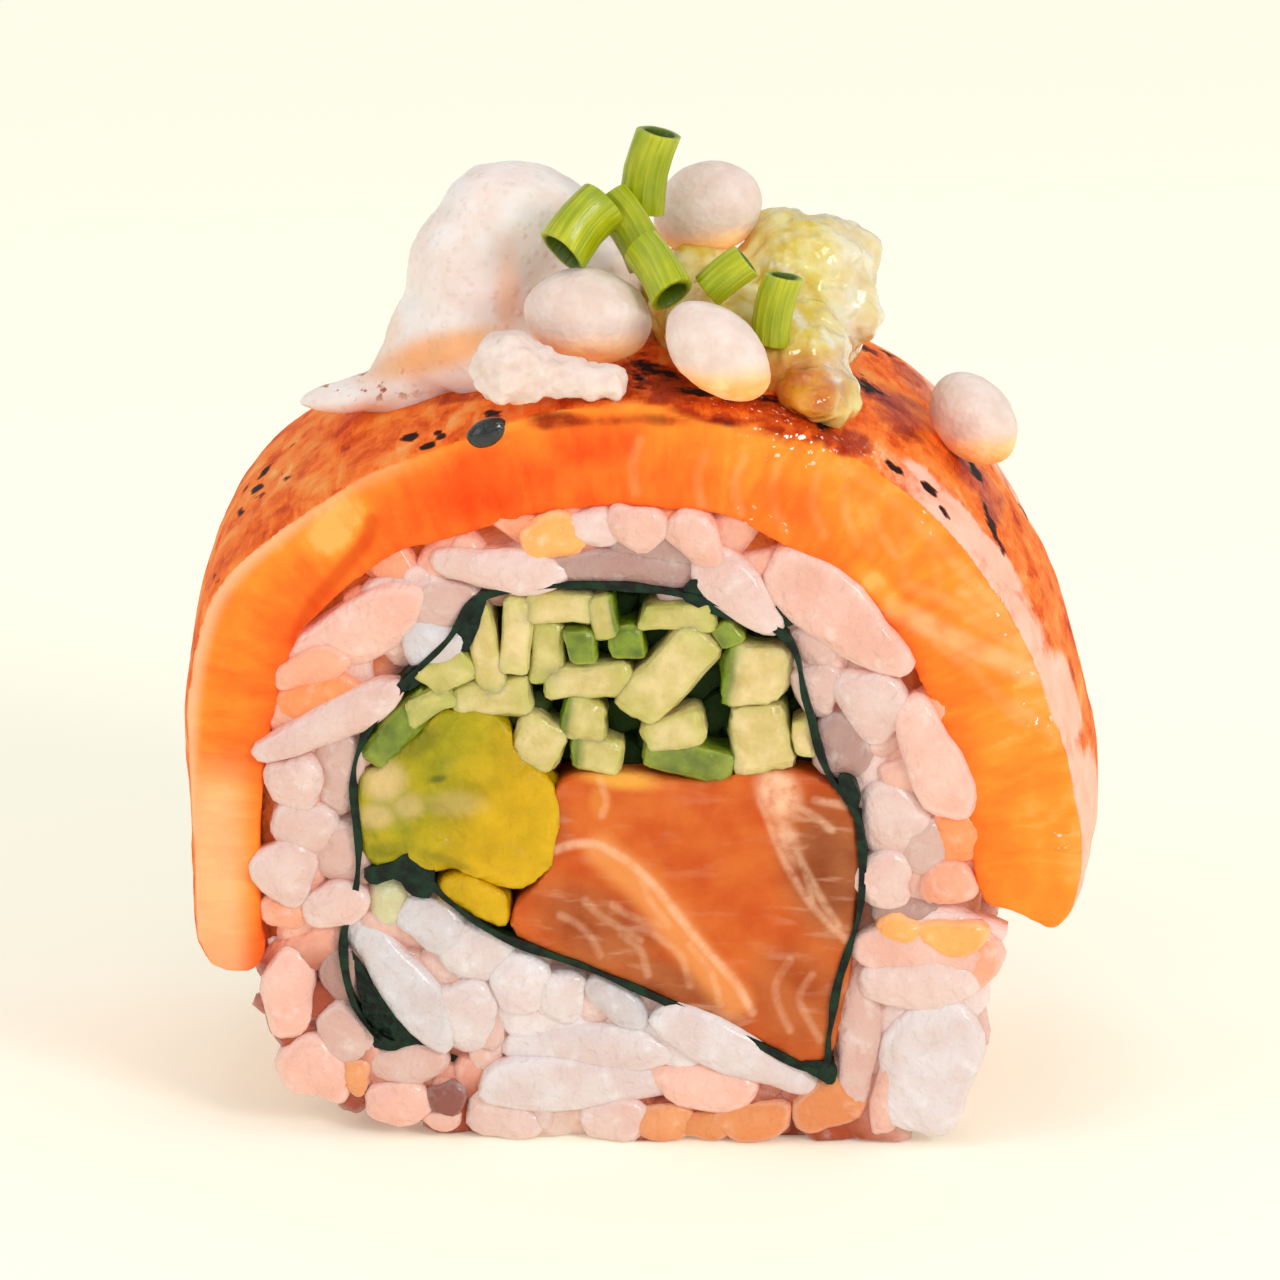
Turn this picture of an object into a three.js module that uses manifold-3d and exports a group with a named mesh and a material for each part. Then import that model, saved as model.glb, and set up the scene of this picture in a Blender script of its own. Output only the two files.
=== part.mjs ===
// One piece of an inside-out sushi roll, standing on its curved side with a cut face to the front.
// A seared salmon slice is draped over sushi rice. The rice winds round a sheet of nori, and the nori
// holds cucumber sticks, avocado and a strip of raw salmon. White sauce, a yellow-green relish, puffed
// rice and cut chives lie on top.
// Millimetres. +X is right and +Z is up as seen on the front cut face, which looks towards -Y.
// The origin is under the middle of the piece, on the surface that it stands on.
import * as THREE from "three";
import { mergeVertices } from "three/addons/utils/BufferGeometryUtils.js";
import Module from "manifold-3d";

const wasm = await Module();
wasm.setup();

// Driving sizes
const DEPTH = 26; // between the two cut faces
const HALF_DEPTH = DEPTH / 2;
const BELLY = 0.03; // share by which the section is larger half way between the cut faces
const BELLY_CENTRE = new THREE.Vector2(-8, 22); // x and z of the line that the section swells about
const SEAM = 0.32; // clear gap left between neighbouring pieces
const DEPTH_STEPS = 4; // straight stretches between the cut faces
const NORI_THICKNESS = 0.5;
const STICK_PROUD = 0.4; // how far the longest cucumber sticks stand out of the cut faces
const CHIVE_WALL = 0.5;
const CUTTER = 200; // side of the block that trims the base flat

// Rice: its core lies behind the cut faces, and grains of true size stand out of it
const RICE_SETBACK = 0.9;
const GRAIN = { length: 6.4, width: 2.9, proud: 0.6, sides: 6, rings: 4 };
const FACE_GRAINS = 60; // in each cut face
const SIDE_GRAINS = 15; // along each side under the ends of the slice

// The draped slice: x, z and thickness along the middle of its thickness, from left to right
const SLICE = [
  [-24.5, 12.2, 3.9],
  [-24.6, 21.1, 4.5],
  [-24.3, 26.0, 5.3],
  [-23.4, 30.7, 5.7],
  [-21.7, 34.0, 5.6],
  [-16.2, 38.5, 5.1],
  [-12.1, 40.1, 5.5],
  [-4.1, 42.6, 6.2],
  [4.7, 42.5, 6.5],
  [9.4, 40.8, 6.8],
  [15.3, 36.8, 6.5],
  [19.9, 29.7, 6.8],
  [22.4, 21.9, 6.8],
  [23.0, 17.0, 6.4],
];
const SLICE_EDGE = 0.9; // rounding where the slice meets the cut faces
const SESAME = { at: [-9.0, -12.3, 44.0], semi: [1.35, 0.8, 0.85], tilt: 30 };

// The nori, from its inner end under the filling, round it, to its outer end in the rice
const NORI = [
  [-15.4, 17.2],
  [-13.4, 17.4],
  [-11.6, 15.4],
  [-8.2, 13.0],
  [-2.4, 10.8],
  [5.7, 7.1],
  [10.6, 4.8],
  [11.3, 7.2],
  [11.8, 10.4],
  [13.1, 15.4],
  [12.9, 20.6],
  [11.0, 23.8],
  [9.8, 28.0],
  [8.6, 31.9],
  [4.2, 34.1],
  [-2.4, 35.0],
  [-9.0, 34.3],
  [-11.4, 31.4],
  [-14.9, 27.6],
  [-16.9, 23.6],
  [-16.7, 18.4],
  [-17.0, 15.2],
  [-17.7, 12.4],
  [-17.0, 8.4],
  [-14.8, 5.9],
  [-11.0, 4.6],
  [-5.0, 3.1],
  [2.6, 2.4],
];
const NORI_POINTS = 46; // along the smooth line
const FILLING_END = 20; // the row above where the nori closes on the filling

// The rice's free side under the ends of the slice, from left to right
const RICE_UNDERSIDE = [
  [-21.8, 9.8],
  [-21.1, 6.4],
  [-19.6, 3.4],
  [-16.6, 1.5],
  [-10.0, 0.1],
  [0.0, -0.6],
  [9.0, -0.5],
  [15.2, 1.0],
  [17.8, 3.2],
  [18.8, 7.0],
  [19.9, 12.8],
];
const NORI_POCKET = { at: [-15.3, -HALF_DEPTH, 8.6], semi: [2.0, 4.5, 3.4] }; // bares the nori

// Outlines of the filling on the cut face, x and z, each drawn a little larger than the nori leaves room for
const SALMON_STRIP = [
  [-5.0, 22.3],
  [-2.4, 23.3],
  [3.5, 22.7],
  [7.1, 23.4],
  [11.4, 22.6],
  [14.0, 19.0],
  [13.2, 12.6],
  [11.5, 4.5],
  [6.0, 6.6],
  [-2.0, 10.0],
  [-7.2, 12.4],
  [-7.4, 14.8],
  [-5.6, 17.0],
  [-5.2, 19.7],
];
const AVOCADO = [
  [-17.2, 22.6],
  [-17.2, 17.6],
  [-13.0, 16.8],
  [-10.8, 17.2],
  [-7.9, 16.0],
  [-5.9, 17.3],
  [-5.5, 19.8],
  [-5.5, 22.3],
  [-7.2, 24.4],
  [-8.2, 26.6],
  [-11.4, 26.9],
  [-13.2, 25.4],
  [-15.2, 23.4],
];
const AVOCADO_END = [
  [-12.2, 15.6],
  [-11.0, 16.8],
  [-8.1, 15.6],
  [-7.8, 12.6],
  [-10.4, 13.6],
];
const FILLING_EDGE = 0.5; // rounding where the filling meets the cut faces

// Cucumber sticks on the cut face: x, z, width, height, and turn in degrees
const CUCUMBER_STICKS = [
  [-9.2, 30.9, 1.7, 5.6, 4],
  [-7.3, 31.7, 1.7, 4.4, -8],
  [-5.4, 30.6, 2.0, 3.8, -6],
  [-4.8, 33.4, 4.0, 1.9, 0],
  [-2.2, 33.0, 1.5, 2.4, 20],
  [-3.5, 31.1, 1.8, 2.2, 0],
  [-0.8, 31.4, 1.9, 2.0, 0],
  [-3.2, 28.9, 4.8, 2.0, 3],
  [-3.3, 26.5, 2.6, 2.6, -15],
  [-6.0, 25.0, 2.8, 3.0, -30],
  [-2.6, 24.4, 2.8, 2.0, -10],
  [-8.8, 27.7, 4.4, 2.1, 8],
  [-11.4, 29.4, 3.0, 2.2, 35],
  [-14.2, 25.7, 5.0, 2.0, 48],
  [1.7, 29.4, 6.2, 2.8, 50],
  [2.0, 25.8, 3.3, 1.9, 12],
  [2.2, 33.0, 4.0, 1.6, 0],
  [6.8, 29.4, 3.7, 3.6, 0],
  [7.1, 25.4, 3.5, 4.2, 10],
  [5.1, 31.9, 1.4, 1.4, 30],
  [9.6, 25.6, 1.2, 2.0, 0],
];

// Each topping: x, y, z of its middle, its semi-axes along, across and up, its turn and its tilt in degrees
const PUFFED_RICE = {
  puffed_rice_back: [3.4, 1.4, 54.0, 3.3, 2.8, 2.8, 10, 20],
  puffed_rice_middle: [-3.3, -7.6, 49.8, 3.75, 2.6, 2.85, 0, -8],
  puffed_rice_front: [4.5, -11.9, 49.0, 3.6, 2.2, 2.35, 0, -42],
  puffed_rice_right: [19.4, -0.8, 41.8, 3.1, 2.4, 2.25, 0, -50],
};
// A crisp with a round head and a thin tail: the middle of its head, its tilt, and its radius at
// distances from the tip of the head
const TAILED_CRISP = {
  head: [-7.7, -11.8, 47.8],
  tilt: -8,
  profile: [
    [0, 0],
    [0.3, 1.3],
    [1.2, 2.0],
    [2.2, 2.15],
    [3.3, 1.8],
    [4.4, 1.2],
    [5.6, 0.9],
    [7.6, 0.8],
    [8.8, 0.9],
    [9.3, 0],
  ],
  headAt: 2.2,
  sides: 10,
};
// Each piece of chive: x, y, z of its middle, its length and radius, its turn and its lean in degrees
const CHIVES = {
  chive_upright: [0.0, -2.4, 57.3, 4.9, 1.35, 0, 12],
  chive_left: [-3.7, -6.2, 54.9, 4.0, 1.75, 40, 52],
  chive_middle: [-1.0, -4.6, 54.4, 4.6, 1.4, 148, 40],
  chive_lower: [0.8, -8.2, 52.9, 3.8, 1.5, 130, 52],
  chive_front: [4.8, -7.6, 52.4, 3.0, 1.15, 8, 52],
  chive_right: [7.7, -8.0, 50.5, 4.2, 1.15, 0, 11],
};
const WHITE_SAUCE = [
  [-7.8, 1.4, 52.6, 4.9, 4.2, 3.9, 0, -12],
  [-9.6, 1.2, 48.2, 5.6, 5.2, 6.4, 0, 12],
  [-12.2, 0.8, 45.2, 5.0, 5.2, 4.8, 0, -20],
  [-8.4, -2.6, 45.8, 4.8, 3.4, 2.8, 0, 0],
  [-17.2, 0.2, 42.7, 3.9, 2.4, 0.85, 0, 4],
  [-4.0, 0.8, 48.6, 3.6, 4.2, 4.6, 0, 0],
];
const RELISH = [
  [9.0, 1.4, 48.6, 4.5, 5.0, 5.2, 0, 0],
  [8.2, 2.0, 51.6, 2.6, 2.8, 2.4, 0, 0],
  [11.9, 1.6, 51.2, 1.8, 2.2, 1.8, 0, 30],
  [12.3, 0.2, 48.2, 1.6, 2.2, 2.4, 0, 0],
  [8.4, -4.6, 47.0, 3.6, 4.6, 3.0, 0, 0],
  [10.2, -7.6, 45.6, 2.6, 4.8, 1.9, 0, -20],
  [4.6, -3.8, 48.2, 3.6, 4.2, 3.0, 0, 0],
  [3.2, -0.4, 48.6, 3.6, 4.0, 3.8, 0, 0],
];
const TOPPING_SIDES = 10; // of a rounded topping
const TOPPING_RINGS = 7;
const CHIVE_SIDES = 10;

const COLOURS = {
  salmon_slice: 0xfa8236,
  salmon_strip: 0xde7434,
  sushi_rice: 0xebd7d0,
  nori_sheet: 0x0c2a1c,
  cucumber_sticks: 0xc8c85c,
  avocado_piece: 0xc2bd2e,
  avocado_end: 0xf0bc55,
  white_sauce: 0xeedfd2,
  relish: 0xdcbe50,
  puffed_rice: 0xeedccc,
  tailed_crisp: 0xf0e6dc,
  chive: 0x82a51e,
};

// A repeatable source of numbers from 0 to 1
function seededRandom(seed) {
  let state = seed;
  return () => {
    state = (state * 1664525 + 1013904223) % 4294967296;
    return state / 4294967296;
  };
}

// Evenly spaced points on a smooth line through rows of x, z and an optional third value, which comes out as y
function smoothLine(rows, count, closed = false) {
  const through = rows.map(([x, z, value = 0]) => new THREE.Vector3(x, value, z));
  const points = new THREE.CatmullRomCurve3(through, closed, "centripetal").getSpacedPoints(count);
  return closed ? points.slice(0, -1) : points;
}

function flat(points) {
  return points.map((p) => new THREE.Vector2(p.x, p.z));
}

// The unit normal to the left of an open line at one of its points
function leftNormal(line, i) {
  const along = line[Math.min(i + 1, line.length - 1)].clone().sub(line[Math.max(i - 1, 0)]).normalize();
  return new THREE.Vector2(-along.y, along.x);
}

// The closed outline of a band round an open line, with rounded ends
function band(line, halfWidth) {
  const offset = (i, side) => line[i].clone().addScaledVector(leftNormal(line, i), side * halfWidth(i));
  const last = line.length - 1;
  const capPoint = (i, angle) => {
    const outwards = leftNormal(line, i).rotateAround(new THREE.Vector2(), angle);
    return line[i].clone().addScaledVector(outwards, halfWidth(i));
  };
  return [
    ...line.map((_, i) => offset(i, 1)),
    capPoint(last, -Math.PI / 3),
    capPoint(last, (-2 * Math.PI) / 3),
    ...line.map((_, i) => offset(last - i, -1)),
    capPoint(0, (2 * Math.PI) / 3),
    capPoint(0, Math.PI / 3),
  ];
}

// A closed outline moved outwards by a distance
function grown(outline, distance) {
  const side = THREE.ShapeUtils.area(outline) > 0 ? -distance : distance;
  const count = outline.length;
  return outline.map((point, i) => {
    const around = [outline[(i + count - 1) % count], point, outline[(i + 1) % count]];
    return point.clone().addScaledVector(leftNormal(around, 1), side);
  });
}

// How much larger the section is at a depth than at the cut faces
function swellAt(y) {
  return 1 + BELLY * Math.max(0, 1 - (y / HALF_DEPTH) ** 2);
}

function swell(geometry) {
  const position = geometry.getAttribute("position");
  for (let i = 0; i < position.count; i++) {
    const scale = swellAt(position.getY(i));
    position.setX(i, BELLY_CENTRE.x + (position.getX(i) - BELLY_CENTRE.x) * scale);
    position.setZ(i, BELLY_CENTRE.y + (position.getZ(i) - BELLY_CENTRE.y) * scale);
  }
  return geometry;
}

// A solid from a closed geometry
function solidOf(geometry) {
  geometry.deleteAttribute("normal");
  geometry.deleteAttribute("uv");
  const merged = mergeVertices(geometry, 1e-4);
  return new wasm.Manifold(
    new wasm.Mesh({
      numProp: 3,
      vertProperties: new Float32Array(merged.attributes.position.array),
      triVerts: new Uint32Array(merged.index.array),
    }),
  );
}

// A solid with one section from the front to the back, swollen half way
function runThrough(outline, reach = HALF_DEPTH, edge = 0) {
  const geometry = new THREE.ExtrudeGeometry(new THREE.Shape(outline), {
    depth: 2 * (reach - edge),
    steps: DEPTH_STEPS,
    bevelEnabled: edge > 0,
    bevelThickness: edge,
    bevelSize: edge,
    bevelOffset: -edge,
    bevelSegments: 1,
  });
  geometry.rotateX(Math.PI / 2).translate(0, reach - edge, 0);
  return solidOf(swell(geometry));
}

// An egg shape whose long axis is along X before it is tilted about Y and turned about Z
function egg([x, y, z, a, b, c, turn = 0, tilt = 0], sides, rings, extra = 0) {
  const geometry = new THREE.SphereGeometry(1, sides, rings);
  geometry.rotateZ(Math.PI / 2).scale(a + extra, b + extra, c + extra);
  geometry.rotateY(THREE.MathUtils.degToRad(-tilt)).rotateZ(THREE.MathUtils.degToRad(turn));
  return solidOf(geometry.translate(x, y, z));
}

function topping(row, extra = 0) {
  return egg(row, TOPPING_SIDES, TOPPING_RINGS, extra);
}

// A cylinder or, with a wall, a tube that leans from upright towards its turn
function stalk([x, y, z, length, radius, turn, lean], wall = 0) {
  const shape = new THREE.Shape().absarc(0, 0, radius, 0, 2 * Math.PI);
  if (wall > 0) shape.holes.push(new THREE.Path().absarc(0, 0, radius - wall, 0, 2 * Math.PI));
  const geometry = new THREE.ExtrudeGeometry(shape, {
    depth: length,
    bevelEnabled: false,
    curveSegments: CHIVE_SIDES / 2,
  });
  geometry.translate(0, 0, -length / 2);
  geometry.rotateY(THREE.MathUtils.degToRad(lean)).rotateZ(THREE.MathUtils.degToRad(turn));
  return solidOf(geometry.translate(x, y, z));
}

// The tailed crisp, turned about its own length, and larger all over by an extra amount
function tailedCrisp(extra = 0) {
  const { head, tilt, profile, headAt, sides } = TAILED_CRISP;
  const length = profile.at(-1)[0];
  const stretch = (length + 2 * extra) / length;
  const outline = profile.map(
    ([along, radius]) => new THREE.Vector2(radius > 0 ? radius + extra : 0, (along - headAt) * stretch),
  );
  const geometry = new THREE.LatheGeometry(outline, sides).rotateZ(-Math.PI / 2);
  return solidOf(geometry.rotateY(THREE.MathUtils.degToRad(-tilt)).translate(...head));
}

function joined(solids) {
  return solids.reduce((whole, solid) => whole.add(solid));
}

// The largest piece of a solid, without the scraps that a cut can leave
function largest(solid) {
  return solid.decompose().sort((a, b) => b.volume() - a.volume())[0];
}

function meshOf(name, solid, roughness) {
  const { vertProperties, triVerts } = largest(solid).getMesh();
  const geometry = new THREE.BufferGeometry();
  geometry.setAttribute("position", new THREE.BufferAttribute(vertProperties, 3));
  geometry.setIndex(new THREE.BufferAttribute(triVerts, 1));
  geometry.computeVertexNormals();
  const kind = Object.keys(COLOURS).find((key) => name.startsWith(key));
  const material = new THREE.MeshStandardMaterial({ color: COLOURS[kind], roughness, metalness: 0 });
  const mesh = new THREE.Mesh(geometry, material);
  mesh.name = name;
  return mesh;
}

function inside(outline, x, z) {
  let within = false;
  outline.forEach((a, i) => {
    const b = outline[(i + 1) % outline.length];
    if (a.y > z !== b.y > z && x < ((b.x - a.x) * (z - a.y)) / (b.y - a.y) + a.x) within = !within;
  });
  return within;
}

function nearest(points, p) {
  return Math.min(...points.map((q) => q.distanceTo(p)));
}

const slicePoints = smoothLine(SLICE, 30);
const sliceLine = flat(slicePoints);
const sliceHalf = (i) => slicePoints[i].y / 2;
const noriLine = flat(smoothLine(NORI, NORI_POINTS));
const closingPoint = new THREE.Vector2(...NORI[FILLING_END]);
const closingIndex = noriLine.reduce(
  (best, p, i) => (p.distanceTo(closingPoint) < noriLine[best].distanceTo(closingPoint) ? i : best),
  0,
);
const fillingOutline = noriLine.slice(0, closingIndex + 1);
const riceOutline = [...sliceLine, ...flat(smoothLine(RICE_UNDERSIDE, 20)).reverse()];
const everyDepth = HALF_DEPTH + 2; // reach of a cutter that passes through both cut faces

// What the slice and the nori keep clear of
const roundSlice = runThrough(
  band(sliceLine, (i) => sliceHalf(i) + SEAM),
  everyDepth,
);
const roundNori = runThrough(
  band(noriLine, () => NORI_THICKNESS / 2 + SEAM),
  everyDepth,
);
const fillingRoom = runThrough(fillingOutline, everyDepth).subtract(roundNori);

function salmonSlice() {
  const slice = runThrough(band(sliceLine, sliceHalf), HALF_DEPTH, SLICE_EDGE);
  const seed = egg([...SESAME.at, ...SESAME.semi, 0, SESAME.tilt], 8, 5);
  return meshOf("salmon_slice", slice.add(seed), 0.35);
}

function noriSheet() {
  return meshOf("nori_sheet", runThrough(band(noriLine, () => NORI_THICKNESS / 2)), 0.5);
}

// A grain lying across the section at x, y and z
function grain(x, y, z, turn, tilt, size) {
  const semi = [GRAIN.length / 2, GRAIN.width / 2, GRAIN.width / 2].map((s) => s * size);
  return egg([x, y, z, ...semi, turn, tilt], GRAIN.sides, GRAIN.rings);
}

// Grains in a cut face, largest first, dropped one by one where the face is still free
function faceGrains(face, random) {
  const bounds = new THREE.Box2().setFromPoints(riceOutline);
  const taken = [];
  const grains = [];
  const clearOfNori = GRAIN.width * 0.5;
  for (let tries = 0; tries < 9000 && grains.length < FACE_GRAINS; tries++) {
    const size = THREE.MathUtils.lerp(1.12, 0.72, grains.length / FACE_GRAINS);
    const x = THREE.MathUtils.lerp(bounds.min.x, bounds.max.x, random());
    const z = THREE.MathUtils.lerp(bounds.min.y, bounds.max.y, random());
    const tilt = random() * 180;
    const along = new THREE.Vector2(1, 0).rotateAround(new THREE.Vector2(), THREE.MathUtils.degToRad(tilt));
    const spots = [-1, 0, 1].map((side) =>
      new THREE.Vector2(x, z).addScaledVector(along, side * GRAIN.length * 0.3 * size),
    );
    const fits = spots.every(
      (p) =>
        inside(riceOutline, p.x, p.y) &&
        !inside(fillingOutline, p.x, p.y) &&
        nearest(noriLine, p) > clearOfNori &&
        nearest(sliceLine, p) > 3.6 &&
        (taken.length === 0 || nearest(taken, p) > GRAIN.width * 0.78 * size),
    );
    if (!fits) continue;
    taken.push(...spots);
    const y = face * (HALF_DEPTH + GRAIN.proud * random() - (GRAIN.width / 2) * size);
    grains.push(grain(x, y, z, 0, tilt, size));
  }
  return grains;
}

// Grains along the free sides of the rice, between the ends of the slice and the base
function sideGrains(random) {
  const side = flat(smoothLine(RICE_UNDERSIDE, 40));
  const stretches = [side.slice(1, 8), side.slice(33, 40)];
  return stretches.flatMap((stretch) =>
    Array.from({ length: SIDE_GRAINS }, (_, k) => {
      const at = stretch[Math.floor(random() * stretch.length)];
      const y = THREE.MathUtils.lerp(-HALF_DEPTH + 3, HALF_DEPTH - 3, k / (SIDE_GRAINS - 1));
      const scale = swellAt(y);
      const x = BELLY_CENTRE.x + (at.x - BELLY_CENTRE.x) * scale;
      const z = BELLY_CENTRE.y + (at.y - BELLY_CENTRE.y) * scale;
      return grain(x * 0.97, y, Math.max(z, 1.2), 60 + 60 * random(), 30 * random() - 15, 1);
    }),
  );
}

function sushiRice() {
  const random = seededRandom(41);
  const core = runThrough(riceOutline, HALF_DEPTH - RICE_SETBACK);
  const pocket = egg([...NORI_POCKET.at, ...NORI_POCKET.semi], 10, 6);
  const grains = [...faceGrains(-1, random), ...faceGrains(1, random), ...sideGrains(random)];
  const floor = new THREE.BoxGeometry(CUTTER, CUTTER, CUTTER).translate(0, 0, -CUTTER / 2);
  const rice = joined([core.subtract(pocket), ...grains])
    .subtract(roundSlice)
    .subtract(roundNori)
    .subtract(runThrough(fillingOutline, everyDepth))
    .subtract(solidOf(floor));
  return meshOf("sushi_rice", rice, 0.45);
}

function fillings() {
  const pieces = { salmon_strip: SALMON_STRIP, avocado_piece: AVOCADO, avocado_end: AVOCADO_END };
  let room = fillingRoom;
  const meshes = Object.entries(pieces).map(([name, rows]) => {
    const outline = flat(smoothLine(rows, 2 * rows.length, true));
    const piece = runThrough(outline, HALF_DEPTH, FILLING_EDGE).intersect(room);
    room = room.subtract(runThrough(grown(outline, SEAM), everyDepth));
    return meshOf(name, piece, 0.4);
  });
  return [...meshes, cucumberSticks(room)];
}

// A bundle of square sticks on a core that lies a little behind their ends
function cucumberSticks(room) {
  const random = seededRandom(7);
  const core = runThrough(fillingOutline, HALF_DEPTH - 1.6);
  const sticks = CUCUMBER_STICKS.map(([x, z, width, height, turn]) => {
    const reach = HALF_DEPTH + STICK_PROUD - random();
    const box = new THREE.BoxGeometry(width, 2 * reach, height);
    return solidOf(box.rotateY(THREE.MathUtils.degToRad(-turn)).translate(x, 0, z));
  });
  return meshOf("cucumber_sticks", joined([core, ...sticks]).intersect(room), 0.4);
}

// The toppings in the order in which they keep their shape: each is cut clear of all before it
function toppings() {
  const meshes = [];
  let taken = roundSlice.add(egg([...SESAME.at, ...SESAME.semi, 0, SESAME.tilt], 8, 5, SEAM));
  const lay = (name, solid, clearance, roughness) => {
    meshes.push(meshOf(name, solid.subtract(taken), roughness));
    taken = taken.add(clearance);
  };
  Object.entries(PUFFED_RICE).forEach(([name, row]) => lay(name, topping(row), topping(row, SEAM), 0.6));
  lay("tailed_crisp", tailedCrisp(), tailedCrisp(SEAM), 0.7);
  Object.entries(CHIVES).forEach(([name, row]) => {
    const [x, y, z, length, radius, turn, lean] = row;
    const room = stalk([x, y, z, length + 2 * SEAM, radius + SEAM, turn, lean]);
    lay(name, stalk(row, CHIVE_WALL), room, 0.35);
  });
  const heap = (rows, extra) => joined(rows.map((row) => topping(row, extra)));
  lay("white_sauce", heap(WHITE_SAUCE, 0), heap(WHITE_SAUCE, SEAM), 0.55);
  lay("relish", heap(RELISH, 0), heap(RELISH, SEAM), 0.2);
  return meshes;
}

const roll = new THREE.Group();
roll.add(salmonSlice(), sushiRice(), noriSheet(), ...fillings(), ...toppings());

export default roll;
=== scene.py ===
"""Uramaki roll: the looks of one topped piece of inside-out sushi roll.

Pieces are modelled in millimetres, +X to the right and +Z up on the front cut face, which looks
towards -Y, and are turned to metres when they are done.
"""
import math
import random

import bpy
import numpy as np
from mathutils import Matrix, Vector


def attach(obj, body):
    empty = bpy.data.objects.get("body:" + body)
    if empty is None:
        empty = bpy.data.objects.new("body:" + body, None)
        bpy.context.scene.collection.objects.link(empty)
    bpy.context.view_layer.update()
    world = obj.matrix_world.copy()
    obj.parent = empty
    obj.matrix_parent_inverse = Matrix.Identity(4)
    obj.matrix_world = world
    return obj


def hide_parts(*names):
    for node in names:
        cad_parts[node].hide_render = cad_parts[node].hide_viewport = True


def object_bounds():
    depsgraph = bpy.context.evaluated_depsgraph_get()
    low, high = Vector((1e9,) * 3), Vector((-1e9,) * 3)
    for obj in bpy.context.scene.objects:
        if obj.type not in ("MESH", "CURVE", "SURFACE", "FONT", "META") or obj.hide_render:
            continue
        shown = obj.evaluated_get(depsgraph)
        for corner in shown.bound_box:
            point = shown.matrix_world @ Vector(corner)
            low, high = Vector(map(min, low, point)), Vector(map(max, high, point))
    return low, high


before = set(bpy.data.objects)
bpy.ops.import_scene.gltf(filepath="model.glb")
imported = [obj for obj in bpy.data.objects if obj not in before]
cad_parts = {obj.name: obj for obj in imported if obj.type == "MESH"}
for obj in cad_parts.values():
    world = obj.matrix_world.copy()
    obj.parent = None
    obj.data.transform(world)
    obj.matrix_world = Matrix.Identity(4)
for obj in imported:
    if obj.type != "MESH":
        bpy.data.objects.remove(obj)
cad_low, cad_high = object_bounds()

# Size and place of the whole, in millimetres
MM = 0.001
HALF_DEPTH = 13.0
BELLY = 0.03
BELLY_CENTRE = (-8.0, 22.0)

# The camera: where it looks, from how far, and how high and how far round it stands
AIM = (0.0, -13.0, 31.6)
DISTANCE = 520.0
ELEVATION = 18.0
AZIMUTH = 2.5
PICTURE = 1280
PIXELS_PER_MM = 17.0

# The salmon slice from its lower left end, over the top, to its lower right end: x, z, thickness
SLICE = [
    (-24.5, 12.2, 3.9), (-24.6, 21.1, 4.5), (-24.3, 26.0, 5.3), (-23.4, 30.7, 5.7),
    (-21.7, 34.0, 5.6), (-16.2, 38.5, 5.1), (-12.1, 40.1, 5.5), (-4.1, 42.6, 6.2),
    (4.7, 42.5, 6.5), (9.4, 40.8, 6.8), (15.3, 36.8, 6.5), (19.9, 29.7, 6.8),
    (22.4, 21.9, 6.8), (23.0, 17.0, 6.4),
]

# The slice's two ends on the front, read off the picture: column and row
RIGHT_TIP = [(1079, 868), (1076, 896), (1066, 918), (1051, 934), (1036, 924), (1010, 914), (984, 908)]
LEFT_TIP = [(266, 940), (264, 962), (254, 972), (232, 975), (210, 968), (201, 950), (198, 925)]

# The nori, from its inner end under the avocado, round the filling, to its outer end
NORI_THICKNESS = 0.42
NORI = [
    (-15.4, 17.2), (-13.4, 17.4), (-11.6, 15.4), (-8.2, 13.0), (-2.4, 10.8), (5.7, 7.1),
    (10.6, 4.8), (11.3, 7.2), (11.8, 10.4), (13.1, 15.4), (12.9, 20.6), (11.0, 23.8),
    (9.8, 28.0), (8.6, 31.9), (4.2, 34.1), (-2.4, 35.0), (-9.0, 34.3), (-11.4, 31.4),
    (-14.9, 27.6), (-16.9, 23.6), (-16.7, 18.4), (-17.0, 15.2), (-17.7, 12.4), (-17.0, 8.4),
    (-14.8, 5.9), (-11.0, 4.6), (-5.0, 3.1), (2.6, 2.4),
]
FILLING_END = 20

RICE_UNDERSIDE = [
    (-21.8, 9.8), (-21.1, 6.4), (-19.6, 3.4), (-16.6, 1.5), (-10.0, 0.1), (0.0, -0.6),
    (9.0, -0.5), (15.2, 1.0), (17.8, 3.2), (18.8, 7.0), (19.9, 12.8),
]
NORI_POCKET = (-15.3, -13.0, 8.6, 2.0, 4.5, 3.4)
GRAIN_LENGTH = 6.4
GRAIN_WIDTH = 2.9
GRAIN_THICKNESS = 2.4

# What the picture shows of a grain or a stick is a little less than all of it
GRAIN_LONGER = 1.12
GRAIN_WIDER = 1.16
STICK_LARGER = 1.12

SALMON_STRIP = [
    (-5.0, 22.3), (-2.4, 23.3), (3.5, 22.7), (7.1, 23.4), (11.2, 22.8), (12.9, 19.4),
    (12.6, 12.6), (10.9, 5.2), (6.0, 7.1), (-2.0, 10.5), (-7.2, 12.8), (-7.4, 14.8),
    (-5.6, 17.0), (-5.2, 19.7),
]
AVOCADO = [
    (-16.7, 22.6), (-16.5, 17.9), (-13.0, 17.0), (-10.8, 17.2), (-7.9, 15.9), (-5.4, 17.2),
    (-4.9, 19.8), (-5.0, 22.3), (-7.2, 24.4), (-8.2, 26.6), (-11.4, 26.9), (-13.2, 25.4),
    (-15.2, 23.4),
]
AVOCADO_LUMPS = [
    (-15.2, 19.6, 1.8), (-12.6, 22.6, 2.4), (-9.4, 20.0, 2.8), (-7.6, 22.2, 2.0), (-7.8, 17.8, 1.7),
    (-12.4, 18.4, 1.9),
]
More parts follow.
